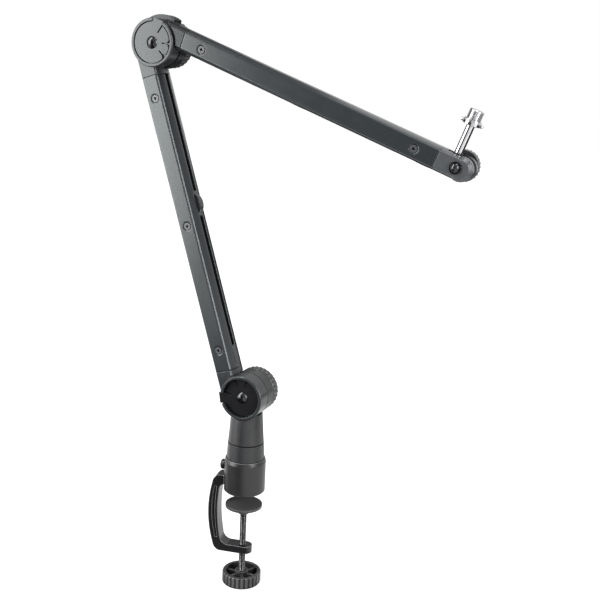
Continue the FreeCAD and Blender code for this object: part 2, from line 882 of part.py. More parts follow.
@dataclass
class Knob:
    """Sizes of one toothed hand knob along +Z, counted from its inner face."""

    radius: Size
    thick: Size
    teeth: Size
    groove_radius: Size
    groove_out: Size
    chamfer: Size
    dish_radius: Size
    dish_depth: Size
    hub_radius: Size
    hub_drop: Size
    insert_radius: Size

    def body(self, name):
        """Return the knob with a dished outer face, a hub and a bore for its insert."""
        bore = self.insert_radius + S.fit_gap
        edge = self.radius - self.chamfer
        floor = self.thick - self.dish_depth
        hub_top = self.thick - self.hub_drop
        return toothed(name, [
            (bore, 0),
            (edge, 0),
            (self.radius, self.chamfer),
            (self.radius, self.thick - self.chamfer),
            (edge, self.thick),
            (self.dish_radius, self.thick),
            (self.dish_radius - self.dish_depth / 2, floor),
            (self.hub_radius, floor),
            (self.hub_radius, hub_top),
            (bore, hub_top),
        ], self.radius, self.teeth, self.groove_radius, self.groove_out)


HINGE_KNOB = Knob(
    radius=S.knob_radius,
    thick=S.knob_thick,
    teeth=S.knob_teeth,
    groove_radius=S.knob_groove_radius,
    groove_out=S.knob_groove_out,
    chamfer=S.knob_chamfer,
    dish_radius=S.knob_dish_radius,
    dish_depth=S.knob_dish_depth,
    hub_radius=S.knob_hub_radius,
    hub_drop=S.knob_hub_drop,
    insert_radius=S.insert_radius,
)
MIC_KNOB = Knob(
    radius=S.mic_knob_radius,
    thick=S.mic_knob_thick,
    teeth=S.mic_knob_teeth,
    groove_radius=S.mic_groove_radius,
    groove_out=S.mic_groove_out,
    chamfer=S.mic_knob_chamfer,
    dish_radius=S.mic_dish_radius,
    dish_depth=S.mic_dish_depth,
    hub_radius=S.mic_hub_radius,
    hub_drop=S.mic_hub_drop,
    insert_radius=S.mic_insert_radius,
)


def ring(name, bore, radius, low, high):
    """Return a plain ring about Z."""
    return turned(name, rectangle(bore, radius, low, high))


def hinge_hardware(prefix, hinge):
    """Model the bolt, washers, knob and insert of one arm hinge."""
    bolt = dome_bolt(prefix + "_bolt_body", S.hinge_bolt_radius, S.hinge_head_radius, S.hinge_head_height,
                     hinge.face + S.hinge_bolt_end)
    height = hinge.height
    node(prefix + "_bolt", place(bolt, ZERO, -hinge.face, height, **ALONG_Y), LOWER)
    friction = flat_washer(prefix + "_friction_body", BOLT_HOLE, S.friction_radius, -S.lap_half, S.lap_half,
                           ZERO, height)
    node(prefix + "_friction_washer", friction, LOWER)
    spring = cone_washer(prefix + "_spring_body", BOLT_HOLE + S.seat_gap, S.spring_washer_radius,
                         S.spring_washer_thick, S.spring_washer_height)
    node(prefix + "_spring_washer", place(spring, ZERO, S.arm_half_depth, height, **ALONG_Y), LOWER)
    knob = HINGE_KNOB.body(prefix + "_knob_body")
    node(prefix + "_knob", place(knob, ZERO, KNOB_FACE, height, **ALONG_Y), LOWER)
    insert = ring(prefix + "_insert_body", BOLT_HOLE, S.insert_radius, ZERO, S.insert_length)
    node(prefix + "_knob_insert", place(insert, ZERO, KNOB_FACE, height, **ALONG_Y), LOWER)


def build_clamp():
    """Model the clamp frame with its socket, bush, lock screw, screw, pad and knob."""
    bow_back = Bow(S.back_bow_radius, -1)
    outline = [
        (-S.limb_root, S.limb_under),
        (-S.throat_head_reach, S.limb_under, Bow(S.throat_head_radius, 1)),
        (-S.throat_top_reach, S.throat_top_height, Bow(S.throat_bow_radius, 1)),
        (-S.throat_low_reach, S.throat_low_height, Bow(S.throat_corner_radius, 1)),
        (-S.throat_foot_reach, S.jaw_top),
        (S.jaw_nose, S.jaw_top),
        (S.jaw_nose, S.jaw_under),
        (-S.heel_reach, S.jaw_under, Bow(S.heel_radius, -1)),
        (-S.back_low_reach, S.back_low_height, bow_back),
        (-S.back_top_reach, S.back_top_height, Bow(S.shoulder_radius, -1)),
        (-S.limb_shoulder, S.limb_top),
        (-S.limb_root, S.limb_top),
    ]
    half = S.frame_width / 2
    limb = slab("clamp_limb", [outline], -half, half)
    nose = post("clamp_jaw_nose", half, S.jaw_under, S.jaw_top, S.jaw_nose)
    socket = turned("clamp_socket_body", [
        (0, 0),
        (S.socket_radius - S.socket_round, 0),
        (S.socket_radius, S.socket_round),
        (S.socket_radius, S.socket_height - S.socket_chamfer),
        (S.socket_top_radius, S.socket_height),
        (0, S.socket_height),
    ])
    web = [
        (S.web_flange - S.back_top_reach, S.web_top_height),
        (-S.throat_top_reach - S.web_flange, S.web_top_height, Bow(S.throat_bow_radius, 1)),
        (-S.throat_low_reach - S.web_flange, S.web_low_height),
        (S.web_flange - S.back_low_reach, S.web_low_height, bow_back),
    ]
    web_near = slab("clamp_web_near", [web], -half - S.cut_margin, S.web_depth - half)
    web_far = slab("clamp_web_far", [web], half - S.web_depth, half + S.cut_margin)
    lock_bore = primitive("Part::Cylinder", "clamp_lock_bore", Radius=S.lock_radius + S.fit_gap,
                          Height=S.socket_radius + S.cut_margin)
    place(lock_bore, ZERO, ZERO, S.lock_height, **ALONG_BACK)
    frame = cut("clamp_frame_cut", joined("clamp_frame_solid", [limb, nose, socket]), [
        web_near,
        web_far,
        post("clamp_socket_bore", S.bush_radius + S.fit_gap, S.socket_floor, S.socket_height),
        post("clamp_screw_bore", S.screw_major_radius + S.fit_gap, S.jaw_under, S.jaw_top),
        lock_bore,
    ])
    node("clamp_frame", frame, CLAMP)
    bush = turned("bush_body", [
        (S.spigot_radius + S.fit_gap, S.bush_foot),
        (S.bush_radius, S.bush_foot),
        (S.bush_radius, S.socket_height),
        (S.bush_collar_radius, S.socket_height),
        (S.bush_top_radius, S.split_height - S.thrust_washer_thick),
        (S.spigot_radius + S.fit_gap, S.split_height - S.thrust_washer_thick),
    ])
    bush_bore = primitive("Part::Cylinder", "bush_lock_bore", Radius=S.lock_radius + S.fit_gap,
                          Height=S.socket_radius)
    place(bush_bore, ZERO, ZERO, S.lock_height, **ALONG_BACK)
    node("socket_bush", cut("bush_drilled", bush, [bush_bore]), CLAMP)
    tip = S.spigot_radius + S.seat_gap
    head = S.socket_radius + S.seat_gap
    lock = turned("lock_body", [
        (0, tip),
        (S.lock_radius, tip),
        (S.lock_radius, head),
        (S.lock_head_radius, head),
        (S.lock_head_radius, S.lock_head_reach - S.socket_round),
        (S.lock_head_radius - S.socket_round, S.lock_head_reach),
        (S.lock_key_radius, S.lock_head_reach),
        (S.lock_key_radius, S.lock_head_reach - S.lock_key_depth),
        (0, S.lock_head_reach - S.lock_key_depth),
    ])
    node("lock_screw", place(lock, ZERO, ZERO, S.lock_height, **ALONG_BACK), CLAMP)
    build_pad()
    build_cup_knob()


def build_pad():
    """Model the pressure pad, its rubber face, the clamp screw and the ring that keeps the pad on it."""
    under = S.pad_top - S.pad_thick
    hub_end = under - S.pad_hub_length
    face_low = S.pad_top - S.pad_face_thick
    face_radius = S.pad_radius - S.pad_rim
    bore = S.screw_major_radius + S.fit_gap
    ceiling = face_low - S.pad_face_thick
    pad = turned("pad_body", [
        (0, face_low),
        (face_radius, face_low),
        (face_radius, S.pad_top - S.seat_gap),
        (S.pad_radius, S.pad_top - S.seat_gap),
        (S.pad_radius, under),
        (S.pad_hub_radius, under),
        (S.pad_hub_radius, hub_end),
        (bore, hub_end),
        (bore, ceiling),
        (0, ceiling),
    ])
    node("clamp_pad", pad)
    node("pad_face", post("pad_face_body", face_radius - S.fit_gap, face_low, S.pad_top))
    groove_low = hub_end - S.seat_gap - S.keeper_thick
    groove_high = hub_end - S.seat_gap
    groove = S.screw_major_radius - S.keeper_groove
    screw_top = ceiling - S.seat_gap
    screw = turned("clamp_screw_body", [
        (0, S.cup_under),
        (S.screw_major_radius, S.cup_under),
        (S.screw_major_radius, groove_low),
        (groove, groove_low),
        (groove, groove_high),
        (S.screw_major_radius, groove_high),
        (S.screw_major_radius, screw_top),
        (0, screw_top),
    ])
    node("clamp_screw", screw)
    node("pad_retainer", ring("pad_retainer_body", groove, S.keeper_radius, groove_low, groove_high))


def build_cup_knob():
    """Model the clamp knob: a fluted cup, open at the top, with a hub and spokes."""
    chamfer = S.cup_chamfer
    bore = S.screw_major_radius
    inner = S.cup_radius - S.cup_wall
    floor = S.cup_under + S.cup_floor
    cup = toothed("cup_body", [
        (bore, S.cup_under),
        (S.cup_radius - chamfer, S.cup_under),
        (S.cup_radius, S.cup_under + chamfer),
        (S.cup_radius, S.cup_top - chamfer),
        (S.cup_radius - chamfer, S.cup_top),
        (inner, S.cup_top),
        (inner, floor),
        (S.cup_hub_radius, floor),
        (S.cup_hub_radius, S.cup_top),
        (bore, S.cup_top),
    ], S.cup_radius, S.cup_flutes, S.cup_flute_radius, S.cup_flute_out)
    pieces = [cup]
    half = S.cup_spoke_width / 2
    margin = S.cut_margin
    for index in range(int(S.cup_spokes.value)):
        turn = as_size(FULL_TURN * index) / S.cup_spokes
        length = inner - S.cup_hub_radius + margin * 2
        start = S.cup_hub_radius - margin
        rib = primitive("Part::Box", f"cup_spoke_{index}", Length=length, Width=S.cup_spoke_width,
                        Height=S.cup_top - S.cup_spoke_drop - floor + margin)
        place(rib, start * cosine(turn) + half * sine(turn), start * sine(turn) - half * cosine(turn),
              floor - margin, Vector(0, 0, 1), turn)
        pieces.append(rib)
    node("clamp_knob", joined("cup_solid", pieces))


def build_column():
    """Model the column with the far half of the lower hinge, its spigot, ring and thrust washer."""
    reach = S.socket_radius
    clear = S.hinge_radius + S.turn_gap
    shoulder = S.hinge_height - S.column_shoulder_drop
    top = S.hinge_height + S.cut_margin
    shaft = turned("column_shaft", [
        (0, S.split_height),
        (S.column_foot_radius - S.column_chamfer, S.split_height),
        (S.column_foot_radius, S.split_height + S.column_chamfer),
        (S.column_mid_radius, S.split_height + S.column_mid_rise),
        (S.column_neck_radius, S.hinge_height - S.column_neck_drop),
        (S.column_top_radius, S.hinge_height),
        (0, S.hinge_height),
    ])
    carved = cut("column_carved", shaft, [
        drum("column_near_saddle", clear, -reach, S.lap_half, ZERO, S.hinge_height),
        box("column_near_step", -reach, reach, -reach, S.lap_half, shoulder, top),
        drum("column_far_saddle", S.knob_radius + S.turn_gap, S.arm_half_depth, reach, ZERO, S.hinge_height),
        box("column_far_step", -reach, reach, S.arm_half_depth, reach, shoulder, top),
    ])
    chamfer = S.drum_chamfer
    head = turned("column_head", [
        (0, S.lap_half),
        (S.hinge_radius, S.lap_half),
        (S.hinge_radius, S.arm_half_depth - chamfer),
        (S.hinge_radius - chamfer, S.arm_half_depth),
        (0, S.arm_half_depth),
    ])
    place(head, ZERO, ZERO, S.hinge_height, **ALONG_Y)
    column = cut("column_cut", joined("column_solid", [carved, head]), [
        drum("column_bolt_bore", BOLT_HOLE, ZERO, S.arm_half_depth, ZERO, S.hinge_height),
        post("column_spigot_bore", S.spigot_radius + S.fit_gap, S.split_height, SPIGOT_TOP + S.seat_gap),
    ])
    node("column", column)
    groove = S.spigot_radius - S.spigot_groove
    ring_high = S.bush_foot - S.seat_gap
    ring_low = ring_high - S.spigot_ring_thick
    spigot = turned("spigot_body", [
        (0, S.spigot_foot),
        (S.spigot_radius, S.spigot_foot),
        (S.spigot_radius, ring_low),
        (groove, ring_low),
        (groove, ring_high),
        (S.spigot_radius, ring_high),
        (S.spigot_radius, SPIGOT_TOP),
        (0, SPIGOT_TOP),
    ])
    node("swivel_spigot", spigot)
    node("spigot_retainer", ring("spigot_retainer_body", groove, S.spigot_ring_radius, ring_low, ring_high))
    thrust = ring("thrust_body", S.spigot_radius + S.fit_gap, S.bush_top_radius - S.thrust_washer_inset,
                  S.split_height - S.thrust_washer_thick, S.split_height)
    node("swivel_washer", thrust)


def build_lower_arm():
    """Model the lower arm between its two drum fittings, with its clips and screws."""
    length = S.lower_length
    low_screw = S.screw_back
    high_screw = length - S.screw_back
    middle = length / 2
    drum_fitting("lower_arm_root_fitting", LOWER_HINGE, 1, S.hinge_radius, low_screw)
    drum_fitting("lower_arm_tip_fitting", ELBOW_HINGE, -1, S.disc_radius, high_screw,
                 [hood_sweep("lower_arm_tip_sweep", ELBOW_HINGE)])
    heights = [low_screw, middle, high_screw]
    bottom = S.end_seam + S.seat_gap
    extrusion("lower_arm_extrusion", bottom, length - bottom, heights, LOWER)
    arm_screws("lower_arm_screws", heights, LOWER)
    half = S.mid_block_length / 2
    block = chamber_fill("lower_arm_mid_fill", middle - half, middle + half)
    drilled = cut("lower_arm_mid_drilled", block, screw_tools("lower_arm_mid", [middle]))
    node("lower_arm_mid_block", drilled, LOWER)
    cable_clip("lower_arm_mid_clip", S.lower_mid_clip, S.mid_clip_length, S.mid_clip_bump, LOWER)
    cable_clip("lower_arm_end_clip", bottom, S.end_clip_length, S.clip_crown, LOWER)
    key_plate("lower_hinge_key_plate", LOWER_HINGE)
    key_plate("elbow_key_plate", ELBOW_HINGE)
    hinge_hardware("lower_hinge", LOWER_HINGE)
    hinge_hardware("elbow", ELBOW_HINGE)


def build_upper_arm():
    """Model the upper arm from its hooded root disc to the fork at its tip."""
    length = S.upper_length
    depth = S.arm_half_depth
    chamfer = S.drum_chamfer
    disc = turned("upper_root_disc", [
        (0, S.lap_half),
        (S.disc_radius, S.lap_half),
        (S.disc_radius, depth - chamfer),
        (S.disc_radius - chamfer, depth),
        (0, depth),
    ])
    place(disc, **ALONG_Y)
    hood_cap = turned("upper_root_cap", [
        (0, S.lap_half),
        (S.hood_radius, S.lap_half),
        (S.hood_radius, depth - chamfer),
        (S.hood_radius - chamfer, depth),
        (0, depth),
    ])
    place(hood_cap, **ALONG_Y)
    reach = S.hood_radius + S.cut_margin
    chord = box("upper_root_chord", -reach, -S.hood_chord, 0, depth, -reach, S.hood_end)
    hood = common("upper_root_hood", hood_cap, chord)
    stem = cut("upper_root_stem", neck("upper_root_neck", ZERO, S.end_seam), [
        drum("upper_root_near", S.hinge_radius + S.turn_gap, -reach, S.lap_half),
    ])
    plug = chamber_fill("upper_root_plug", S.end_seam - S.cut_margin, S.end_seam + S.plug_length)
    root = cut("upper_root_cut", joined("upper_root_solid", [disc, hood, stem, plug]), [
        drum("upper_root_bore", BOLT_HOLE, ZERO, depth),
        *screw_tools("upper_root", [S.screw_back]),
    ])
    node("upper_arm_root_fitting", root, UPPER)
    tip_seam = length - S.tip_seam
    tip_screw = length - S.tip_screw_back
    heights = [S.screw_back, tip_screw]
    bottom = S.end_seam + S.seat_gap
    top = tip_seam - S.seat_gap
    extrusion("upper_arm_extrusion", bottom, top, heights, UPPER)
    arm_screws("upper_arm_screws", heights, UPPER)
    cable_clip("upper_arm_mid_clip", S.upper_mid_clip, S.mid_clip_length, S.clip_crown, UPPER)
    cable_clip("upper_arm_end_clip", top - S.end_clip_length, S.end_clip_length, S.clip_crown, UPPER)
    pivot = -S.pivot_offset
    slot = S.fork_slot / 2
    bevel = S.cheek_chamfer
    cheek_height = length + S.cheek_forward
    cheeks = turned("upper_tip_cheeks", [
        (0, -depth),
        (CHEEK_RADIUS - bevel, -depth),
        (CHEEK_RADIUS, bevel - depth),
        (CHEEK_RADIUS, depth - bevel),
        (CHEEK_RADIUS - bevel, depth),
        (0, depth),
    ])
    fork = joined("upper_tip_solid", [
        neck("upper_tip_neck", tip_seam, cheek_height),
        place(cheeks, pivot, ZERO, cheek_height, **ALONG_Y),
        chamber_fill("upper_tip_plug", tip_seam - S.plug_length, tip_seam + S.cut_margin),
    ])
    tip = cut("upper_tip_cut", fork, [
        box("upper_tip_slot", -S.arm_outer * 2, S.arm_outer, -slot, slot, length - S.fork_slot_back,
            cheek_height + CHEEK_RADIUS + S.cut_margin),
        drum("upper_tip_bore", S.mic_bolt_radius + S.fit_gap, -depth, depth, pivot, length),
        *screw_tools("upper_tip", [tip_screw]),
    ])
    node("upper_arm_tip_fitting", tip, UPPER)
    build_mic_hardware(pivot, length)
    build_mic_swivel(pivot, length)


def build_mic_hardware(pivot, length):
    """Model the bolt, washers, knob and insert of the microphone pivot."""
    depth = S.arm_half_depth
    hole = S.mic_bolt_radius + S.fit_gap
    washer_face = depth + S.mic_washer_thick
    bolt = dome_bolt("mic_bolt_body", S.mic_bolt_radius, S.mic_head_radius, S.mic_head_height,
                     washer_face + S.mic_bolt_end)
    node("mic_bolt", place(bolt, pivot, -washer_face, length, **ALONG_Y), UPPER)
    washer = flat_washer("mic_bolt_washer_body", hole, S.mic_washer_radius, -washer_face, -depth, pivot,
                         length)
    node("mic_bolt_washer", washer, UPPER)
    slot = S.fork_slot / 2
    thin = slot - S.pivot_washer
    node("mic_friction_washers", [
        flat_washer("mic_friction_near", hole, S.block_radius, -slot, -thin, pivot, length),
        flat_washer("mic_friction_far", hole, S.block_radius, thin, slot, pivot, length),
    ], UPPER)
    spring = cone_washer("mic_spring_body", hole + S.seat_gap, S.mic_spring_radius, S.mic_spring_thick,
                         S.mic_spring_height)
    node("mic_spring_washer", place(spring, pivot, depth, length, **ALONG_Y), UPPER)
    face = depth + S.mic_spring_height
    knob = MIC_KNOB.body("mic_knob_body")
    node("mic_knob", place(knob, pivot, face, length, **ALONG_Y), UPPER)
    insert = ring("mic_insert_body", hole, S.mic_insert_radius, ZERO, S.mic_insert_length)
    node("mic_knob_insert", place(insert, pivot, face, length, **ALONG_Y), UPPER)


def build_mic_swivel(pivot, length):
    """Model the swivel block, the rod that stands on it, the threaded stud and its lock nut."""
    half = S.fork_slot / 2 - S.pivot_washer
    rod_z = length - S.rod_back
    seat = pivot - S.block_height
    block = joined("mic_block_solid", [
        drum("mic_block_eye", S.block_radius, -half, half, pivot, length),
        box("mic_block_foot", seat, pivot, -half, half, rod_z - half, rod_z + half),
    ])
    tenon_bore = primitive("Part::Cylinder", "mic_block_tenon_bore", Radius=S.tenon_radius + S.fit_gap,
                           Height=S.block_height - S.tenon_foot + S.seat_gap)
    place(tenon_bore, pivot - S.tenon_foot + S.seat_gap, ZERO, rod_z, **ALONG_BACK)
    node("mic_swivel_block", cut("mic_block_cut", block, [
        tenon_bore,
        drum("mic_block_bore", S.mic_bolt_radius + S.fit_gap, -half, half, pivot, length),
    ]), UPPER)
    stand = {"x": pivot, "y": ZERO, "z": rod_z, **ALONG_BACK}
    socket_end = S.stud_foot + S.stud_socket_depth
    rod = turned("mic_rod_body", [
        (0, S.tenon_foot),
        (S.tenon_radius, S.tenon_foot),
        (S.tenon_radius, S.block_height),
        (S.rod_radius, S.block_height),
        (S.rod_radius, S.rod_top),
        (S.tenon_radius, S.rod_top),
        (S.tenon_radius, socket_end),
        (0, socket_end),
    ])
    node("mic_rod", place(rod, **stand), UPPER)
    bore = S.tenon_radius + S.fit_gap
    stud = turned("mic_stud_body", [
        (bore, S.stud_foot),
        (S.stud_neck_radius, S.stud_foot),
        (S.stud_pitch_radius, S.nut_low),
        (S.stud_pitch_radius, S.nut_high + S.seat_gap),
        (S.stud_radius, S.nut_high + S.seat_gap),
        (S.stud_radius, S.stud_top - S.stud_chamfer),
        (S.stud_radius - S.stud_chamfer, S.stud_top),
        (0, S.stud_top),
        (0, socket_end + S.seat_gap),
        (bore, socket_end + S.seat_gap),
    ])
    node("mic_stud", place(stud, **stand), UPPER)
    nut = turned("mic_nut_body", [
        (S.stud_pitch_radius + S.fit_gap, S.nut_low),
        (S.nut_radius, S.nut_low),
        (S.nut_radius, S.ear_height + S.ear_radius / 2),
        (S.nut_top_radius, S.nut_high),
        (S.stud_pitch_radius + S.fit_gap, S.nut_high),
    ])
    place(nut, **stand)
    ears = []
    for side in (-1, 1):
        name = "mic_nut_ear_front" if side > 0 else "mic_nut_ear_back"
        ear = primitive("Part::Sphere", name, Radius=S.ear_radius)
        ears.append(place(ear, pivot - S.ear_height, ZERO, rod_z + (S.ear_reach - S.ear_radius / 2) * side))
    node("mic_lock_nut", joined("mic_nut_solid", [nut, *ears]), UPPER)


def export():
    """Check every object of the document and write each node to its own STEP file."""
    DOC.recompute()
    for obj in DOC.Objects:
        if "Invalid" in obj.State or "Error" in obj.State:
            raise RuntimeError(f"{obj.Label} failed to compute: {obj.State}")
    os.makedirs("parts", exist_ok=True)
    for label, obj in NODES:
        shape = obj.Shape
        if shape.isNull() or not shape.isValid() or not shape.Solids:
            raise RuntimeError(f"{label} has no valid solid")
        shape.exportStep(os.path.join("parts", label + ".step"))
        print(f"{label}: {len(shape.Solids)} solid, {shape.Volume:.1f} mm3")


build_clamp()
build_column()
build_lower_arm()
build_upper_arm()
export()
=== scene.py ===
"""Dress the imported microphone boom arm: finishes, threads, screw heads, studio light and camera.

All sizes are metres in the model's own frame.  The origin is on the swivel axis at the underside of the
clamp's socket, +Z is up, the arms fold in the XZ plane and -Y is the side with the key plates.
"""

import logging
import math
from dataclasses import KW_ONLY, dataclass
from enum import Enum

import bpy
import numpy as np
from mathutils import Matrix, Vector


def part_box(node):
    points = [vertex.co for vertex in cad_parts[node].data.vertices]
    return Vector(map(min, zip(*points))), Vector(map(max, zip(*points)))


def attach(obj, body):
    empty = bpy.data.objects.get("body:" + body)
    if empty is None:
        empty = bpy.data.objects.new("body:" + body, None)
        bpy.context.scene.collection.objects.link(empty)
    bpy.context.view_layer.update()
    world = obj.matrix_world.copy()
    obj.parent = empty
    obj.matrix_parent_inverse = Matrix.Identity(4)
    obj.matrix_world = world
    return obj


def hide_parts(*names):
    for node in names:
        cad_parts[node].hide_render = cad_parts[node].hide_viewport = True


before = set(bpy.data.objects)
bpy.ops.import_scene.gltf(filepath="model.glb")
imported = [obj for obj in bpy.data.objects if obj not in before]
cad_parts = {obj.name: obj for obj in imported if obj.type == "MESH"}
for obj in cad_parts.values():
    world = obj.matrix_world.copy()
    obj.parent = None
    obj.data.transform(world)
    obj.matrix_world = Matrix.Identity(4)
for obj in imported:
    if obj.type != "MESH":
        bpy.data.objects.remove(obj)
LOG = logging.getLogger("boom_arm")
Colour = tuple[float, float, float]
Point = tuple[float, float, float]
Socket = bpy.types.NodeSocket

# Places and directions in the model's frame
ORIGIN = (0.0, 0.0, 0.0)
UPWARD = (0.0, 0.0, 1.0)
NEARWARD = (0.0, -1.0, 0.0)
FARWARD = (0.0, 1.0, 0.0)
ABOUT_Z = (1.0, 1.0, 0.0)
ABOUT_Y = (1.0, 0.0, 1.0)
LOWER_HINGE = (0.0, 0.0, 0.122)
ELBOW = (-0.125247, 0.0, 0.52289)
MIC_PIVOT = (0.232292, 0.0, 0.408669)
LEAN = math.radians(17.35)
DROOP = math.radians(20.16)

# Colours of light, painted shade and cool reflections
WHITE = (1.0, 1.0, 1.0, 1.0)
PAINTED_SHADE = (0.002, 0.002, 0.0022)
COOL = (0.945, 1.0, 0.99)

# Socket types and the colour sockets of a Mix node
FLOAT = "NodeSocketFloat"
VECTOR = "NodeSocketVector"
MIX_SHARE, MIX_FIRST, MIX_SECOND, MIX_RESULT = 0, 6, 7, 2


class Slot(Enum):
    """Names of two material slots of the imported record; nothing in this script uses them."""

    CHROME = "chrome"
    DARK_STEEL = "dark_steel"


def unit(vector: np.ndarray) -> np.ndarray:
    """Return a vector of length 1 in the same direction."""
    return vector / np.linalg.norm(vector)


def show(name: str, data: bpy.types.ID) -> bpy.types.Object:
    """Return a new object of a mesh, lamp or camera, linked to the scene."""
    holder = bpy.data.objects.new(name, data)
    bpy.context.scene.collection.objects.link(holder)
    return holder


def aim(holder: bpy.types.Object, place: Point, axes: list[np.ndarray]) -> None:
    """Set an object's place and the directions of its own X, Y and Z."""
    matrix = np.eye(4)
    matrix[:3, :3] = np.stack(axes, axis=1)
    matrix[:3, 3] = place
    holder.matrix_world = [list(map(float, row)) for row in matrix.T]


# Node trees and the effects that finishes share
class Tree:
    """A short hand on one node tree: adds nodes, sets their sockets and links them."""

    def __init__(self, tree: bpy.types.NodeTree) -> None:
        """Keep the tree that the nodes go into."""
        self.tree = tree

    @classmethod
    def emptied(cls, owner: bpy.types.Material | bpy.types.World) -> "Tree":
        """Return the short hand on the tree of a material or world, with all nodes taken out."""
        owner.use_nodes = True
        owner.node_tree.nodes.clear()
        return cls(owner.node_tree)

    def feed(self, node: bpy.types.Node, sockets: dict) -> None:
        """Set inputs of a node, by name or index, to values or link them to output sockets."""
        for key, value in sockets.items():
            if isinstance(value, Socket):
                self.tree.links.new(value, node.inputs[key])
            else:
                node.inputs[key].default_value = value

    def add(self, kind: str, sockets: dict | None = None, **settings: object) -> bpy.types.Node:
        """Add one node.

        Args:
            kind: the node's type name.
            sockets: values or output sockets for its inputs, by name or index.
            settings: properties of the node itself.

        Returns:
            The new node.
        """
        node = self.tree.nodes.new(kind)
        for name, value in settings.items():
            setattr(node, name, value)
        self.feed(node, sockets or {})
        return node

    def group(self, node_tree: bpy.types.NodeTree, sockets: dict) -> bpy.types.NodeOutputs:
        """Return the outputs of a node group that is fed with values or sockets."""
        return self.add("ShaderNodeGroup", sockets, node_tree=node_tree).outputs

    def maths(self, operation: str, first: object, second: object, third: float = 0.0) -> Socket:
        """Return the result of a Math node on two or three values or sockets."""
        return self.add("ShaderNodeMath", {0: first, 1: second, 2: third}, operation=operation).outputs[0]

    def ramp(self, value: Socket, low: float, high: float,
             to_low: float = 0.0, to_high: float = 1.0) -> Socket:
        """Return a value carried from one range to another and held at its ends."""
        sockets = {"Value": value, "From Min": low, "From Max": high, "To Min": to_low, "To Max": to_high}
        return self.add("ShaderNodeMapRange", sockets).outputs[0]

    def off_axis(self, place: Socket, centre: Point, across: Point) -> Socket:
        """Return the distance of a place from an axis.

        Args:
            place: the place.
            centre: a point on the axis.
            across: 1 for the two directions across the axis and 0 for the one along it.

        Returns:
            The distance.
        """
        moved = self.add("ShaderNodeVectorMath", {0: place, 1: centre}, operation="SUBTRACT").outputs[0]
        flat = self.add("ShaderNodeVectorMath", {0: moved, 1: across}, operation="MULTIPLY").outputs[0]
        return self.add("ShaderNodeVectorMath", {0: flat}, operation="LENGTH").outputs["Value"]

    def scale(self, colour: object, share: Socket) -> Socket:
        """Return a colour made darker or paler by a share."""
        return self.add("ShaderNodeVectorMath", {0: colour, "Scale": share}, operation="SCALE").outputs[0]

    def blend(self, share: Socket, first: object, second: object) -> Socket:
        """Return a colour mixed from two colours or sockets by a share."""
        ends = [end if isinstance(end, Socket) else (*end, 1.0) for end in (first, second)]
        sockets = {MIX_SHARE: share, MIX_FIRST: ends[0], MIX_SECOND: ends[1]}
        return self.add("ShaderNodeMix", sockets, data_type="RGBA").outputs[MIX_RESULT]


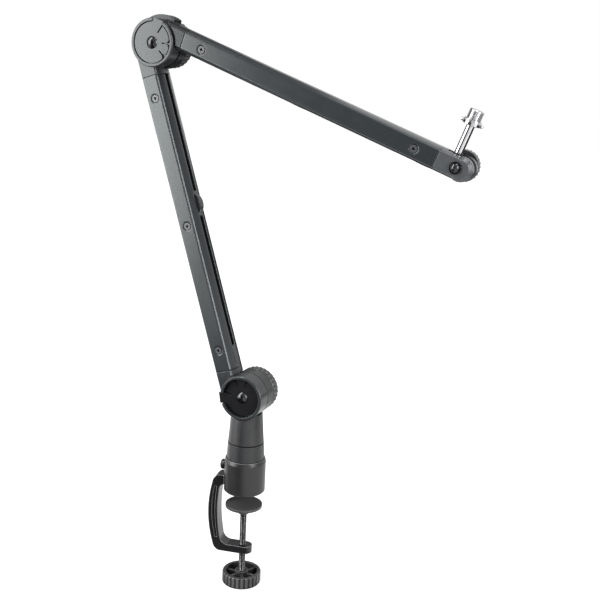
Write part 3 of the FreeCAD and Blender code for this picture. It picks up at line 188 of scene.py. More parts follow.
class Effects:
    """Shader node groups that the finishes share, each built once."""

    def __init__(self) -> None:
        """Build the groups."""
        self.grain = self._grain()
        self.drift = self._drift()
        self.edge = self._edge()
        self.lines = self._lines()
        self.painted_shade = self._painted_shade()

    @staticmethod
    def _group(name: str, inputs: dict[str, str],
               outputs: dict[str, str]) -> tuple[Tree, bpy.types.NodeOutputs]:
        """Start a group with named sockets.

        Args:
            name: the group's name.
            inputs: socket types by input name.
            outputs: socket types by output name.

        Returns:
            The tree's short hand and the sockets that bring the inputs.
        """
        group = bpy.data.node_groups.new(name, "ShaderNodeTree")
        for side, sockets in (("INPUT", inputs), ("OUTPUT", outputs)):
            for label, kind in sockets.items():
                group.interface.new_socket(name=label, in_out=side, socket_type=kind)
        tree = Tree(group)
        return tree, tree.add("NodeGroupInput").outputs

    def _grain(self) -> bpy.types.NodeTree:
        """Fine moulded grain: soft cells with noise between them, as a height."""
        tree, source = self._group("Moulded grain", {"Vector": VECTOR, "Fineness": FLOAT}, {"Height": FLOAT})
        sockets = {"Vector": source["Vector"], "Scale": source["Fineness"]}
        noise = tree.add("ShaderNodeTexNoise", {**sockets, "Detail": 3.0})
        cells = tree.add("ShaderNodeTexVoronoi", sockets, feature="SMOOTH_F1")
        sunk = tree.maths("MULTIPLY", cells.outputs["Distance"], 0.8)
        tree.add("NodeGroupOutput", {"Height": tree.maths("ADD", noise.outputs[0], sunk)})
        return tree.tree

    def _drift(self) -> bpy.types.NodeTree:
        """Slow change over a surface, with sparse pale specks of dust."""
        tree, source = self._group("Surface drift", {"Vector": VECTOR}, {"Cloud": FLOAT, "Specks": FLOAT})
        vector = source["Vector"]
        slow = {"Vector": vector, "Scale": 38.0, "Detail": 5.0, "Roughness": 0.62}
        cloud = tree.add("ShaderNodeTexNoise", slow)
        dots = tree.add("ShaderNodeTexNoise", {"Vector": vector, "Scale": 900.0, "Detail": 2.0})
        tree.add("NodeGroupOutput", {"Cloud": tree.ramp(cloud.outputs[0], 0.28, 0.72),
                                     "Specks": tree.ramp(dots.outputs[0], 0.7, 0.8)})
        return tree.tree

    def _edge(self) -> bpy.types.NodeTree:
        """Rounded edges: a softened normal, and a slightly uneven mask where the surface turns, for wear and
        painted highlight.
        """
        tree, source = self._group("Softened edge", {"Vector": VECTOR, "Radius": FLOAT},
                                   {"Normal": VECTOR, "Mask": FLOAT})
        soft = tree.add("ShaderNodeBevel", {"Radius": source["Radius"]}, samples=8).outputs[0]
        flat = tree.add("ShaderNodeNewGeometry").outputs["Normal"]
        dot = tree.add("ShaderNodeVectorMath", {0: soft, 1: flat}, operation="DOT_PRODUCT").outputs["Value"]
        edge_wear_and_highlight = tree.add("ShaderNodeTexNoise", {"Vector": source["Vector"], "Scale": 420.0, "Detail": 4.0})
        uneven = tree.ramp(edge_wear_and_highlight.outputs[0], 0.35, 0.7, 0.7, 1.0)
        mask = tree.maths("MULTIPLY", tree.ramp(dot, 0.985, 0.86), uneven)
        tree.add("NodeGroupOutput", {"Normal": soft, "Mask": mask})
        return tree.tree

    def _painted_shade(self) -> bpy.types.NodeTree:
        """Painted shade: sheltered places, such as grooves, slits and the gaps between pieces, as a mask."""
        tree, source = self._group("Painted shade in hollows", {"Reach": FLOAT}, {"Mask": FLOAT})
        open_share = tree.add("ShaderNodeAmbientOcclusion", {"Distance": source["Reach"]}, samples=8)
        tree.add("NodeGroupOutput", {"Mask": tree.ramp(open_share.outputs["AO"], 0.8, 0.25)})
        return tree.tree

    def _lines(self) -> bpy.types.NodeTree:
        """Fine lines drawn along local Z, as extrusion and turning leave them."""
        tree, source = self._group("Drawn lines", {"Vector": VECTOR}, {"Height": FLOAT, "Shade": FLOAT})
        vector = source["Vector"]
        long = tree.add("ShaderNodeMapping", {"Vector": vector, "Scale": (1800.0, 1800.0, 14.0)})
        fine = tree.add("ShaderNodeTexNoise", {"Vector": long.outputs[0], "Scale": 1.0, "Detail": 3.0})
        wide = tree.add("ShaderNodeMapping", {"Vector": vector, "Scale": (260.0, 260.0, 4.0)})
        band = tree.add("ShaderNodeTexNoise", {"Vector": wide.outputs[0], "Scale": 1.0, "Detail": 2.0})
        tree.add("NodeGroupOutput", {"Height": fine.outputs[0], "Shade": band.outputs[0]})
        return tree.tree


# Finishes
@dataclass(frozen=True)
class Zone:
    """A round part of a piece about the Z axis, above a height, with a colour and roughness of its own.

    grain is the range of the grain's height over which the colour goes from the first share to the second.
    """

    radius: float
    floor: float
    colour: Colour
    roughness: float
    grain: tuple[float, float] = (0.5, 1.3)
    shares: tuple[float, float] = (0.75, 1.25)

    def mask(self, tree: Tree, place: Socket) -> Socket:
        """Return 1 inside the zone and 0 outside it."""
        height = tree.add("ShaderNodeSeparateXYZ", {0: place}).outputs["Z"]
        inside = tree.maths("LESS_THAN", tree.off_axis(place, ORIGIN, ABOUT_Z), self.radius)
        return tree.maths("MULTIPLY", inside, tree.maths("GREATER_THAN", height, self.floor))

    def tone(self, tree: Tree, height: Socket) -> Socket:
        """Return the zone's colour, speckled by the grain's height."""
        return tree.scale(self.colour, tree.ramp(height, *self.grain, *self.shares))


@dataclass(frozen=True)
class PaintedRibLight:
    """Painted light on a ribbed knob, with paler crests: the knob's centre, the directions across it and its
    radii.

    shares are what the colour is multiplied by in the valleys and on the crests: painted shade in the
    valleys and a painted highlight on the crests.
    """

    centre: Point
    across: Point
    valley: float
    crest: float
    shares: tuple[float, float] = (0.6, 1.9)

    def lift(self, tree: Tree, place: Socket) -> Socket:
        """Return the share of painted light: low for painted shade in the valleys, high for a painted
        highlight on the crests.
        """
        away = tree.off_axis(place, self.centre, self.across)
        return tree.ramp(away, self.valley, self.crest, *self.shares)


@dataclass(frozen=True)
class Finish:
    """One finish of the arm.

    colour and pale are the two ends of the surface's slow drift, and dust_wear_and_highlight is the colour
    of dust, of edge wear and of the painted highlight along edges.  roughness goes down and up by spread
    with the same drift.  fineness is the grain's cells per metre, relief the depth of the grain or the
    lines, edge the radius of softened edges, and edge_wear_and_highlight how far edges go towards that
    colour, partly as wear and partly as a painted edge highlight.  A finish with turn has drawn lines in
    place of grain, at that angle about Y, and line_floor is the least drift that it keeps.  painted_shade is
    how dark the painted shade goes in sheltered places, reach how far off nearby surfaces count, and dust
    how strong the specks are.  zone gives a part of the piece its own tone, and painted_rib_light paints a
    highlight on rib crests and shade in their valleys.  sheen tints the reflections.
    """

    name: str
    colour: Colour
    pale: Colour
    dust_wear_and_highlight: Colour
    _: KW_ONLY
    roughness: float
    spread: float
    relief: float
    edge: float
    edge_wear_and_highlight: float
    fineness: float = 0.0
    metallic: float = 0.0
    specular: float = 0.5
    turn: float | None = None
    line_floor: float = 0.5
    painted_shade: float = 0.85
    reach: float = 0.006
    dust: float = 0.18
    zone: Zone | None = None
    painted_rib_light: PaintedRibLight | None = None
    sheen: Colour = (1.0, 1.0, 1.0)

    def _texture(self, tree: Tree, effects: Effects, place: Socket, cloud: Socket) -> tuple[Socket, Socket]:
        """Return the height of the grain or the lines, and the drift with the lines' shade in it."""
        if self.turn is None:
            grain = tree.group(effects.grain, {"Vector": place, "Fineness": self.fineness})
            return grain["Height"], cloud
        spin = (0.0, self.turn, 0.0)
        turned = tree.add("ShaderNodeMapping", {"Vector": place, "Rotation": spin}).outputs[0]
        lines = tree.group(effects.lines, {"Vector": turned})
        return lines["Height"], tree.maths("MULTIPLY_ADD", lines["Shade"], cloud, self.line_floor)

    def _ground(self, tree: Tree, place: Socket, height: Socket, cloud: Socket) -> tuple[Socket, Socket]:
        """Return the colour, before dust and wear, and the roughness."""
        colour = tree.blend(cloud, self.colour, self.pale)
        rough = tree.ramp(cloud, 0.0, 1.0, self.roughness - self.spread, self.roughness + self.spread)
        if self.zone:
            inside = self.zone.mask(tree, place)
            colour = tree.blend(inside, colour, self.zone.tone(tree, height))
            dull = tree.maths("MULTIPLY", inside, self.zone.roughness - self.roughness)
            rough = tree.maths("ADD", rough, dull)
        if self.painted_rib_light:
            # Painted highlight on the rib crests and painted shade in their valleys.
            colour = tree.scale(colour, self.painted_rib_light.lift(tree, place))
        return colour, rough

    def material(self, effects: Effects) -> bpy.types.Material:
        """Build the finish as a material.

        Args:
            effects: the shared node groups.

        Returns:
            The new material.
        """
        material = bpy.data.materials.new(self.name)
        material.use_nodes = True
        tree = Tree(material.node_tree)
        place = tree.add("ShaderNodeTexCoord").outputs["Object"]
        drift = tree.group(effects.drift, {"Vector": place})
        edge = tree.group(effects.edge, {"Vector": place, "Radius": self.edge})
        painted_shade_outputs = tree.group(effects.painted_shade, {"Reach": self.reach})
        height, cloud = self._texture(tree, effects, place, drift["Cloud"])
        ground, rough = self._ground(tree, place, height, cloud)
        dusted = tree.blend(tree.maths("MULTIPLY", drift["Specks"], self.dust), ground, self.dust_wear_and_highlight)
        # Edges go pale: partly wear, partly a painted highlight along the edges.
        worn_and_highlit = tree.blend(tree.maths("MULTIPLY", edge["Mask"], self.edge_wear_and_highlight), dusted, self.dust_wear_and_highlight)
        # Painted shade: sheltered places, such as grooves and the gaps between pieces, are painted dark.
        shaded = tree.blend(tree.maths("MULTIPLY", painted_shade_outputs["Mask"], self.painted_shade), worn_and_highlit, PAINTED_SHADE)
        bump = tree.add("ShaderNodeBump", {"Height": height, "Distance": self.relief, "Strength": 1.0,
                                           "Normal": edge["Normal"]})
        tree.feed(material.node_tree.nodes["Principled BSDF"], {
            "Base Color": shaded,
            "Roughness": rough,
            "Normal": bump.outputs[0],
            "Metallic": self.metallic,
            "Specular IOR Level": self.specular,
            "Specular Tint": (*self.sheen, 1.0),
        })
        return material


def satin_coat(name: str, turn: float, specular: float) -> Finish:
    """Return the coat of an arm extrusion, with its lines at an angle about Y."""
    return Finish(name, (0.014, 0.017, 0.0185), (0.021, 0.0245, 0.0265), (0.15, 0.16, 0.165),
                  roughness=0.2, spread=0.025, relief=0.000008, edge=0.0022, edge_wear_and_highlight=0.0,
                  specular=specular, turn=turn, reach=0.014, sheen=COOL)


def knob_plastic(name: str, centre: Point, crest: float,
                 depth: float = 0.0009, tip: float = 0.0001) -> Finish:
    """Return the plastic of a ribbed knob that turns about Y, with painted light on its rib crests and
    valleys.

    Args:
        name: the finish's name.
        centre: the knob's centre.
        crest: the radius over the rib crests.
        depth: how far the valleys lie below the crests.
        tip: how far below the crests the palest painted highlight starts.

    Returns:
        The finish.
    """
    return Finish(name, (0.016, 0.017, 0.018), (0.030, 0.031, 0.033), (0.26, 0.265, 0.27),
                  roughness=0.34, spread=0.06, fineness=1700.0, relief=0.00004, edge=0.0007, edge_wear_and_highlight=0.5,
                  painted_rib_light=PaintedRibLight(centre, ABOUT_Y, crest - depth, crest - tip))


class Finishes(Enum):
    """Every finish on the arm."""

    LOWER_COAT = satin_coat("Lower arm satin coat", LEAN, 0.5)
    UPPER_COAT = satin_coat("Upper arm satin coat", -DROOP - math.pi / 2, 0.42)
    FITTING = Finish("Moulded hinge plastic", (0.013, 0.0148, 0.016), (0.022, 0.0245, 0.026),
                     (0.10, 0.107, 0.11), roughness=0.27, spread=0.03, fineness=1900.0,
                     relief=0.000012, edge=0.0007, edge_wear_and_highlight=0.25, sheen=COOL)
    HOOD = Finish("Moulded hood plastic", (0.008, 0.0094, 0.0104), (0.014, 0.0158, 0.017),
                  (0.08, 0.086, 0.09), roughness=0.23, spread=0.03, fineness=1900.0,
                  relief=0.000012, edge=0.0007, edge_wear_and_highlight=0.2, specular=0.3, sheen=COOL)
    FORK = Finish("Moulded fork plastic", (0.040, 0.044, 0.047), (0.056, 0.060, 0.063), (0.17, 0.178, 0.182),
                  roughness=0.3, spread=0.03, fineness=1900.0, relief=0.000012, edge=0.0009, edge_wear_and_highlight=0.4)
    COLUMN = Finish("Column plastic", (0.0135, 0.014, 0.0148), (0.028, 0.0285, 0.030), (0.11, 0.11, 0.115),
                    roughness=0.33, spread=0.05, fineness=1300.0, relief=0.00012, edge=0.0007, edge_wear_and_highlight=0.35,
                    specular=0.4)
    LOWER_KNOB = knob_plastic("Lower hinge knob plastic", LOWER_HINGE, 0.0269)
    ELBOW_KNOB = knob_plastic("Elbow knob plastic", ELBOW, 0.0269)
    MIC_KNOB = knob_plastic("Microphone knob plastic", MIC_PIVOT, 0.0172)
    KEY_PLATE = Finish("Key plate", (0.004, 0.004, 0.0045), (0.007, 0.007, 0.008), (0.06, 0.06, 0.063),
                       roughness=0.5, spread=0.05, fineness=1600.0, relief=0.00004, edge=0.0006, edge_wear_and_highlight=0.4,
                       specular=0.1)
    # The cup knob takes a painted highlight on its rib crests, painted shade in its valleys and inside, and
    # full painted shade in sheltered places.
    CUP = Finish("Cup knob plastic", (0.026, 0.026, 0.027), (0.048, 0.048, 0.050), (0.32, 0.32, 0.325),
                 roughness=0.34, spread=0.06, fineness=1500.0, relief=0.00006, edge=0.0007, edge_wear_and_highlight=0.6,
                 painted_shade=1.0, painted_rib_light=PaintedRibLight(ORIGIN, ABOUT_Z, 0.0229, 0.0237))
    CAST = Finish("Cast clamp coat", (0.005, 0.005, 0.0055), (0.010, 0.010, 0.011), (0.34, 0.34, 0.345),
                  roughness=0.22, spread=0.04, fineness=1100.0, relief=0.00004, edge=0.0016, edge_wear_and_highlight=0.6,
                  zone=Zone(0.0256, -0.001, (0.010, 0.010, 0.0105), 0.36))
    PAD = Finish("Pad coat", (0.034, 0.034, 0.035), (0.056, 0.056, 0.058), (0.2, 0.2, 0.205),
                 roughness=0.38, spread=0.05, fineness=1300.0, relief=0.00009, edge=0.0009, edge_wear_and_highlight=0.4)
    RUBBER = Finish("Pad rubber", (0.024, 0.024, 0.0245), (0.040, 0.040, 0.041), (0.08, 0.08, 0.08),
                    roughness=0.8, spread=0.06, fineness=1200.0, relief=0.00008, edge=0.0004, edge_wear_and_highlight=0.2)
    THREAD = Finish("Threaded chrome", (0.50, 0.50, 0.515), (0.58, 0.58, 0.59), (0.8, 0.8, 0.8),
                    roughness=0.24, spread=0.04, fineness=2600.0, relief=0.000003, edge=0.0002, edge_wear_and_highlight=0.1,
                    metallic=1.0, painted_shade=0.2)
    CHROME = Finish("Chrome", (0.44, 0.44, 0.45), (0.50, 0.50, 0.51), (0.7, 0.7, 0.7),
                    roughness=0.06, spread=0.02, fineness=2600.0, relief=0.000002, edge=0.0003, edge_wear_and_highlight=0.2,
                    metallic=1.0, painted_shade=0.6)
    DOME = Finish("Dark polished bolt", (0.035, 0.036, 0.038), (0.055, 0.056, 0.058), (0.3, 0.3, 0.31),
                  roughness=0.2, spread=0.04, fineness=2200.0, relief=0.000004, edge=0.0004, edge_wear_and_highlight=0.3,
                  metallic=1.0)
    SCREW = Finish("Oiled screw steel", (0.14, 0.14, 0.143), (0.21, 0.21, 0.213), (0.45, 0.45, 0.46),
                   roughness=0.22, spread=0.05, fineness=1800.0, relief=0.00001, edge=0.0002, edge_wear_and_highlight=0.4,
                   metallic=1.0)
    # The screw heads take full painted shade in their ring groove and cross recess.
    HEAD = Finish("Coated screw head", (0.046, 0.050, 0.053), (0.060, 0.064, 0.067), (0.2, 0.205, 0.21),
                  roughness=0.22, spread=0.03, fineness=1800.0, relief=0.00001, edge=0.0002, edge_wear_and_highlight=0.3,
                  painted_shade=1.0)
    STEEL = Finish("Dark oxide steel", (0.045, 0.045, 0.048), (0.08, 0.08, 0.083), (0.3, 0.3, 0.31),
                   roughness=0.34, spread=0.07, fineness=1800.0, relief=0.000015, edge=0.0003, edge_wear_and_highlight=0.5,
                   metallic=1.0)
    BRASS = Finish("Turned brass", (0.62, 0.45, 0.2), (0.75, 0.58, 0.3), (0.85, 0.72, 0.42),
                   roughness=0.28, spread=0.06, fineness=1500.0, relief=0.00001, edge=0.0003, edge_wear_and_highlight=0.3,
                   metallic=1.0)
    FIBRE = Finish("Fibre washer", (0.2, 0.15, 0.09), (0.3, 0.24, 0.16), (0.4, 0.33, 0.22),
                   roughness=0.75, spread=0.05, fineness=1300.0, relief=0.00006, edge=0.0003, edge_wear_and_highlight=0.2)


class Wardrobe:
    """Builds each finish once and puts it on pieces."""

    def __init__(self) -> None:
        """Build all finishes."""
        effects = Effects()
        self.materials = {finish: finish.value.material(effects) for finish in Finishes}

    def dress(self, piece: bpy.types.Object, finish: Finishes) -> None:
        """Put a finish on all of a piece's material slots."""
        if not piece.material_slots:
            piece.data.materials.append(self.materials[finish])
        for material_slot in piece.material_slots:
            material_slot.material = self.materials[finish]

    def dress_nodes(self, finish: Finishes, *names: str) -> None:
        """Put a finish on CAD nodes by name."""
        for name in names:
            self.dress(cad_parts[name], finish)


# Round pieces from grids
@dataclass(frozen=True)
class Stand:
    """A local frame: a point and the local Z direction, with the local Y along the model's."""

    point: Point
    up: Point

    def carry(self, points: np.ndarray) -> np.ndarray:
        """Carry local points to the model's frame: point plus each coordinate times its axis.

        Args:
            points: an array whose last axis is local x, y and z.

        Returns:
            The points in the model's frame.
        """
        up = unit(np.array(self.up))
        side = unit(np.cross(FARWARD, up))
        axes = np.stack([side, np.cross(up, side), up])
        return np.array(self.point) + points @ axes


def closed_round(name: str, rings: np.ndarray, foot: np.ndarray, head: np.ndarray,
                 crease: float) -> bpy.types.Object:
    """Make a closed round piece from a grid of rings and two poles.

    Neighbouring rings are joined by quads that wrap round, and each end ring is closed by a fan to its pole.

    Args:
        name: the piece's name.
        rings: points by ring, from foot to head, and by angle, counter-clockwise seen from the head.
        foot: the pole below the first ring.
        head: the pole above the last ring.
        crease: the angle in degrees past which edges stay sharp.

    Returns:
        The new object.
    """
    rows, columns = rings.shape[:2]
    index = np.arange(rows * columns).reshape(rows, columns)
    after = np.roll(index, -1, axis=1)
    quads = np.stack([index[:-1], after[:-1], after[1:], index[1:]], axis=-1).reshape(-1, 4)
    low, high = rows * columns, rows * columns + 1
    bottom = np.stack([np.full(columns, low), after[0], index[0]], axis=-1)
    top = np.stack([np.full(columns, high), index[-1], after[-1]], axis=-1)
    points = np.concatenate([rings.reshape(-1, 3), foot[None], head[None]])
    mesh = bpy.data.meshes.new(name)
    mesh.from_pydata(points.tolist(), [], quads.tolist() + bottom.tolist() + top.tolist())
    mesh.shade_smooth()
    mesh.set_sharp_from_angle(angle=math.radians(crease))
    mesh.update()
    return show(name, mesh)


@dataclass(frozen=True)
class Thread:
    """A screw thread cut on a round bar between two heights of its stand.

    depth is the full depth as a share of the pitch, and flat the share of the wave that a flat crest takes.
    """

    major: float
    pitch: float
    low: float
    high: float
    depth: float = 0.61
    flat: float = 0.12

    def radius(self, turn: np.ndarray, height: np.ndarray) -> np.ndarray:
        """Return the thread's radius over angle and height.

        The phase is height over pitch less the share of a turn.  The cut is the depth times a triangle wave
        of the phase with its crest and root flattened, and it fades out over one pitch at both ends.

        Args:
            turn: angles in radians.
            height: heights on the stand, of the same shape.

        Returns:
            The radius at each angle and height.
        """
        phase = np.mod(height / self.pitch - turn / (2 * np.pi), 1.0)
        wave = np.clip((np.abs(phase - 0.5) * 2 - self.flat) / (1.0 - 2 * self.flat), 0.0, 1.0)
        fade = np.clip(np.minimum(height - self.low, self.high - height) / self.pitch, 0.0, 1.0)
        return self.major - self.depth * self.pitch * wave * fade


# Sub-assemblies
@dataclass
class ClampSet:
    """The desk clamp: frame, bush, lock screw, threaded clamp screw, pad and knob."""

    screw_radius: float = 0.004
    screw_pitch: float = 0.00125
    keeper_radius: float = 0.0033
    chamfer: float = 0.0006
    plain_foot: float = 0.0145
    plain_neck: float = 0.001
    columns: int = 40
    rows: int = 800
    crease: float = 50.0

    def build_screw(self) -> bpy.types.Object:
        """Build the clamp screw: the thread's radius on a grid of angle and height, with chamfered ends."""
        low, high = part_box("clamp_screw")
        keeper_low, keeper_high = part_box("pad_retainer")
        turn = np.linspace(0.0, 2 * np.pi, self.columns, endpoint=False)
        height = np.linspace(low.z, high.z, self.rows)
        thread = Thread(self.screw_radius, self.screw_pitch, low.z + self.plain_foot,
                        keeper_low.z - self.plain_neck)
        turns, heights = np.meshgrid(turn, height)
        radius = thread.radius(turns, heights)
        end = np.minimum(heights - low.z, high.z - heights)
        radius = np.minimum(radius, self.screw_radius - np.clip(self.chamfer - end, 0.0, None))
        in_groove = (heights > keeper_low.z) & (heights < keeper_high.z)
        radius = np.where(in_groove, self.keeper_radius, radius)
        rings = np.stack([radius * np.cos(turns), radius * np.sin(turns), heights], axis=-1)
        foot = np.array((0.0, 0.0, low.z))
        head = np.array((0.0, 0.0, high.z))
        piece = closed_round("clamp_screw_threaded", rings, foot, head, self.crease)
        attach(piece, "screw")
        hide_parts("clamp_screw")
        return piece

    def dress(self, wardrobe: Wardrobe) -> list[bpy.types.Object]:
        """Build and dress the clamp's pieces, and return the new ones."""
        screw = self.build_screw()
        wardrobe.dress(screw, Finishes.SCREW)
        wardrobe.dress_nodes(Finishes.CAST, "clamp_frame")
        wardrobe.dress_nodes(Finishes.PAD, "clamp_pad")
        wardrobe.dress_nodes(Finishes.COLUMN, "socket_bush")
        wardrobe.dress_nodes(Finishes.CUP, "clamp_knob")
        wardrobe.dress_nodes(Finishes.RUBBER, "pad_face")
        wardrobe.dress_nodes(Finishes.STEEL, "lock_screw", "pad_retainer")
        return [screw]


class ColumnSet:
    """The swivelling column with its spigot, ring and thrust washer."""

    def dress(self, wardrobe: Wardrobe) -> list[bpy.types.Object]:
        """Dress the column's pieces, none of which are new."""
        wardrobe.dress_nodes(Finishes.COLUMN, "column")
        wardrobe.dress_nodes(Finishes.STEEL, "swivel_spigot", "spigot_retainer")
        wardrobe.dress_nodes(Finishes.KEY_PLATE, "swivel_washer")
        return []


@dataclass
class ArmScrews:
    """The countersunk screws on the near face of one arm, with a cross recess in each head.

    offset is from the arm's axis outward and face from its middle plane to the near face.  The head has
    plain rings from the groove in to plain_end, and close rings for the cross from cross_start to cross_end.
    """

    body: str
    node: str
    root: Point
    along: Point
    outward: Point
    stations: tuple[float, ...]
    offset: float = 0.0154
    face: float = 0.0158
    head_radius: float = 0.0053
    shank_radius: float = 0.0025
    length: float = 0.009
    recess_reach: float = 0.0018
    recess_half: float = 0.0007
    recess_depth: float = 0.002
    recess_wall: float = 0.0003
    sink: float = 0.0002
    rim_step: float = 0.0001
    ring_inner: float = 0.0042
    ring_depth: float = 0.0014
    plain_end: float = 0.0034
    plain_rings: int = 6
    cross_start: float = 0.0032
    cross_end: float = 0.0002
    cross_rings: int = 28
    columns: int = 96
    crease: float = 40.0

    def outline(self) -> tuple[np.ndarray, np.ndarray]:
        """Return the radius and height of each ring.

        The outline runs up the shank and out along the cone, in along the floor of a ring groove inside the
        rim, and up to the head's flat top.
        """
        rim = self.head_radius - self.rim_step
        cone = self.head_radius - self.shank_radius
        top = np.concatenate([np.linspace(self.ring_inner, self.plain_end, self.plain_rings),
                              np.linspace(self.cross_start, self.cross_end, self.cross_rings)])
        radius = np.concatenate([[self.shank_radius] * 2, [rim, rim - self.rim_step, self.ring_inner], top])
        shank = [-self.length, -cone - self.ring_depth]
        height = np.concatenate([shank, [-self.ring_depth] * 3, np.zeros(top.size)])
        return radius, height

    def cross(self, x: np.ndarray, y: np.ndarray) -> np.ndarray:
        """Return 1 where a point lies in either arm of the cross and 0 outside it, with sloped walls."""
        arms = [np.clip((self.recess_half - np.abs(b)) / self.recess_wall, 0.0, 1.0)
                * np.clip((self.recess_reach - np.abs(a)) / self.recess_wall, 0.0, 1.0)
                for a, b in ((x, y), (y, x))]
        return np.maximum(arms[0], arms[1])

    def one(self, name: str, station: float) -> bpy.types.Object:
        """Build one screw: its outline turned about its axis, with the cross sunk into the flat top.

        Args:
            name: the piece's name.
            station: the screw's place along the arm.

        Returns:
            The new object.
        """
        radius, height = self.outline()
        turn = np.linspace(0.0, 2 * np.pi, self.columns, endpoint=False)
        radii, turns = np.meshgrid(radius, turn, indexing="ij")
        x, y = radii * np.cos(turns), radii * np.sin(turns)
        heights = np.repeat(height[:, None], turn.size, axis=1)
        sunk = self.cross(x, y) * (heights >= 0.0) * self.recess_depth
        rings = np.stack([x, y, heights - sunk - self.sink], axis=-1)
        foot = np.array((0.0, 0.0, -self.length - self.sink))
        head = np.array((0.0, 0.0, -self.recess_depth - self.sink))
        root, along, outward, near = (np.array(v) for v in (self.root, self.along, self.outward, NEARWARD))
        point = root + along * station + outward * self.offset + near * self.face
        axes = np.stack([along, np.cross(near, along), near])
        placed = [point + local @ axes for local in (rings, foot, head)]
        piece = closed_round(name, *placed, self.crease)
        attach(piece, self.body)
        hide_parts(self.node)
        return piece

    def build(self, wardrobe: Wardrobe) -> list[bpy.types.Object]:
        """Build and dress all screws of the arm."""
        stations = enumerate(self.stations, start=1)
        pieces = [self.one(f"{self.node}_{number}", station) for number, station in stations]
        for piece in pieces:
            wardrobe.dress(piece, Finishes.HEAD)
        return pieces


@dataclass
class LowerArm:
    """The lower arm with its two hinges."""

    length: float = 0.42
    screw_back: float = 0.06

    def dress(self, wardrobe: Wardrobe) -> list[bpy.types.Object]:
        """Build and dress the lower arm's pieces, and return the new ones."""
        stations = (self.screw_back, self.length / 2, self.length - self.screw_back)
        along = (-math.sin(LEAN), 0.0, math.cos(LEAN))
        outward = (-math.cos(LEAN), 0.0, -math.sin(LEAN))
        screws = ArmScrews("lower_arm", "lower_arm_screws", LOWER_HINGE, along, outward, stations)
        wardrobe.dress_nodes(Finishes.LOWER_COAT, "lower_arm_extrusion", "lower_arm_mid_block")
        wardrobe.dress_nodes(Finishes.FITTING, "lower_arm_root_fitting", "lower_arm_tip_fitting",
                             "lower_arm_mid_clip", "lower_arm_end_clip", "elbow_key_plate")
        wardrobe.dress_nodes(Finishes.KEY_PLATE, "lower_hinge_key_plate")
        for prefix, knob in (("lower_hinge", Finishes.LOWER_KNOB), ("elbow", Finishes.ELBOW_KNOB)):
            wardrobe.dress_nodes(Finishes.DOME, prefix + "_bolt")
            wardrobe.dress_nodes(Finishes.FIBRE, prefix + "_friction_washer")
            wardrobe.dress_nodes(Finishes.STEEL, prefix + "_spring_washer")
            wardrobe.dress_nodes(knob, prefix + "_knob")
            wardrobe.dress_nodes(Finishes.BRASS, prefix + "_knob_insert")
        return screws.build(wardrobe)


@dataclass
class UpperArm:
    """The upper arm with its hooded root, fork and microphone pivot."""

    length: float = 0.375
    screw_back: float = 0.06
    tip_screw_back: float = 0.048

    def dress(self, wardrobe: Wardrobe) -> list[bpy.types.Object]:
        """Build and dress the upper arm's pieces, and return the new ones."""
        stations = (self.screw_back, self.length - self.tip_screw_back)
        along = (math.cos(DROOP), 0.0, -math.sin(DROOP))
        outward = (math.sin(DROOP), 0.0, math.cos(DROOP))
        screws = ArmScrews("upper_arm", "upper_arm_screws", ELBOW, along, outward, stations)
        wardrobe.dress_nodes(Finishes.UPPER_COAT, "upper_arm_extrusion")
        wardrobe.dress_nodes(Finishes.HOOD, "upper_arm_root_fitting")
        wardrobe.dress_nodes(Finishes.FITTING, "upper_arm_mid_clip", "upper_arm_end_clip")
        wardrobe.dress_nodes(Finishes.FORK, "upper_arm_tip_fitting")
        wardrobe.dress_nodes(Finishes.DOME, "mic_bolt", "mic_bolt_washer")
        wardrobe.dress_nodes(Finishes.STEEL, "mic_spring_washer", "mic_swivel_block")
        wardrobe.dress_nodes(Finishes.FIBRE, "mic_friction_washers")
        wardrobe.dress_nodes(Finishes.MIC_KNOB, "mic_knob")
        wardrobe.dress_nodes(Finishes.BRASS, "mic_knob_insert")
        return screws.build(wardrobe)


@dataclass
class MicStud:
    """The chrome rod, its threaded stud and the lock nut."""

    base: Point = (0.226378, 0.0, 0.410840)
    up: Point = (math.sin(DROOP), 0.0, math.cos(DROOP))
    radius: float = 0.0079375
    pitch: float = 0.0254 / 27
    foot: float = 0.0432
    top: float = 0.0596
    neck_radius: float = 0.0066
    lead_slope: float = 1.6
    nut_top: float = 0.0499
    nut_bore: float = 0.00763
    chamfer: float = 0.0009
    columns: int = 72
    rows: int = 190
    crease: float = 50.0

    def build_stud(self) -> bpy.types.Object:
        """Build the stud: the thread's radius on a grid of angle and height, kept inside nut and chamfer."""
        turn = np.linspace(0.0, 2 * np.pi, self.columns, endpoint=False)
        height = np.linspace(self.foot, self.top, self.rows)
        turns, heights = np.meshgrid(turn, height)
        thread = Thread(self.radius, self.pitch, self.foot - self.pitch, self.top + self.pitch)
        lead = self.neck_radius + (heights - self.foot) * self.lead_slope
        lip = self.radius - np.clip(self.chamfer - (self.top - heights), 0.0, None)
        bore = np.where(heights < self.nut_top, self.nut_bore, self.radius)
        radius = np.minimum.reduce([thread.radius(turns, heights), lead, lip, bore])
        rings = np.stack([radius * np.cos(turns), radius * np.sin(turns), heights], axis=-1)
        stand = Stand(self.base, self.up)
        foot, head = stand.carry(np.array(((0.0, 0.0, self.foot), (0.0, 0.0, self.top))))
        piece = closed_round("mic_stud_threaded", stand.carry(rings), foot, head, self.crease)
        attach(piece, "mic_swivel")
        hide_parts("mic_stud")
        return piece

    def dress(self, wardrobe: Wardrobe) -> list[bpy.types.Object]:
        """Build and dress the stud and its neighbours, and return the new pieces."""
        stud = self.build_stud()
        wardrobe.dress(stud, Finishes.THREAD)
        wardrobe.dress_nodes(Finishes.CHROME, "mic_rod", "mic_lock_nut")
        return [stud]


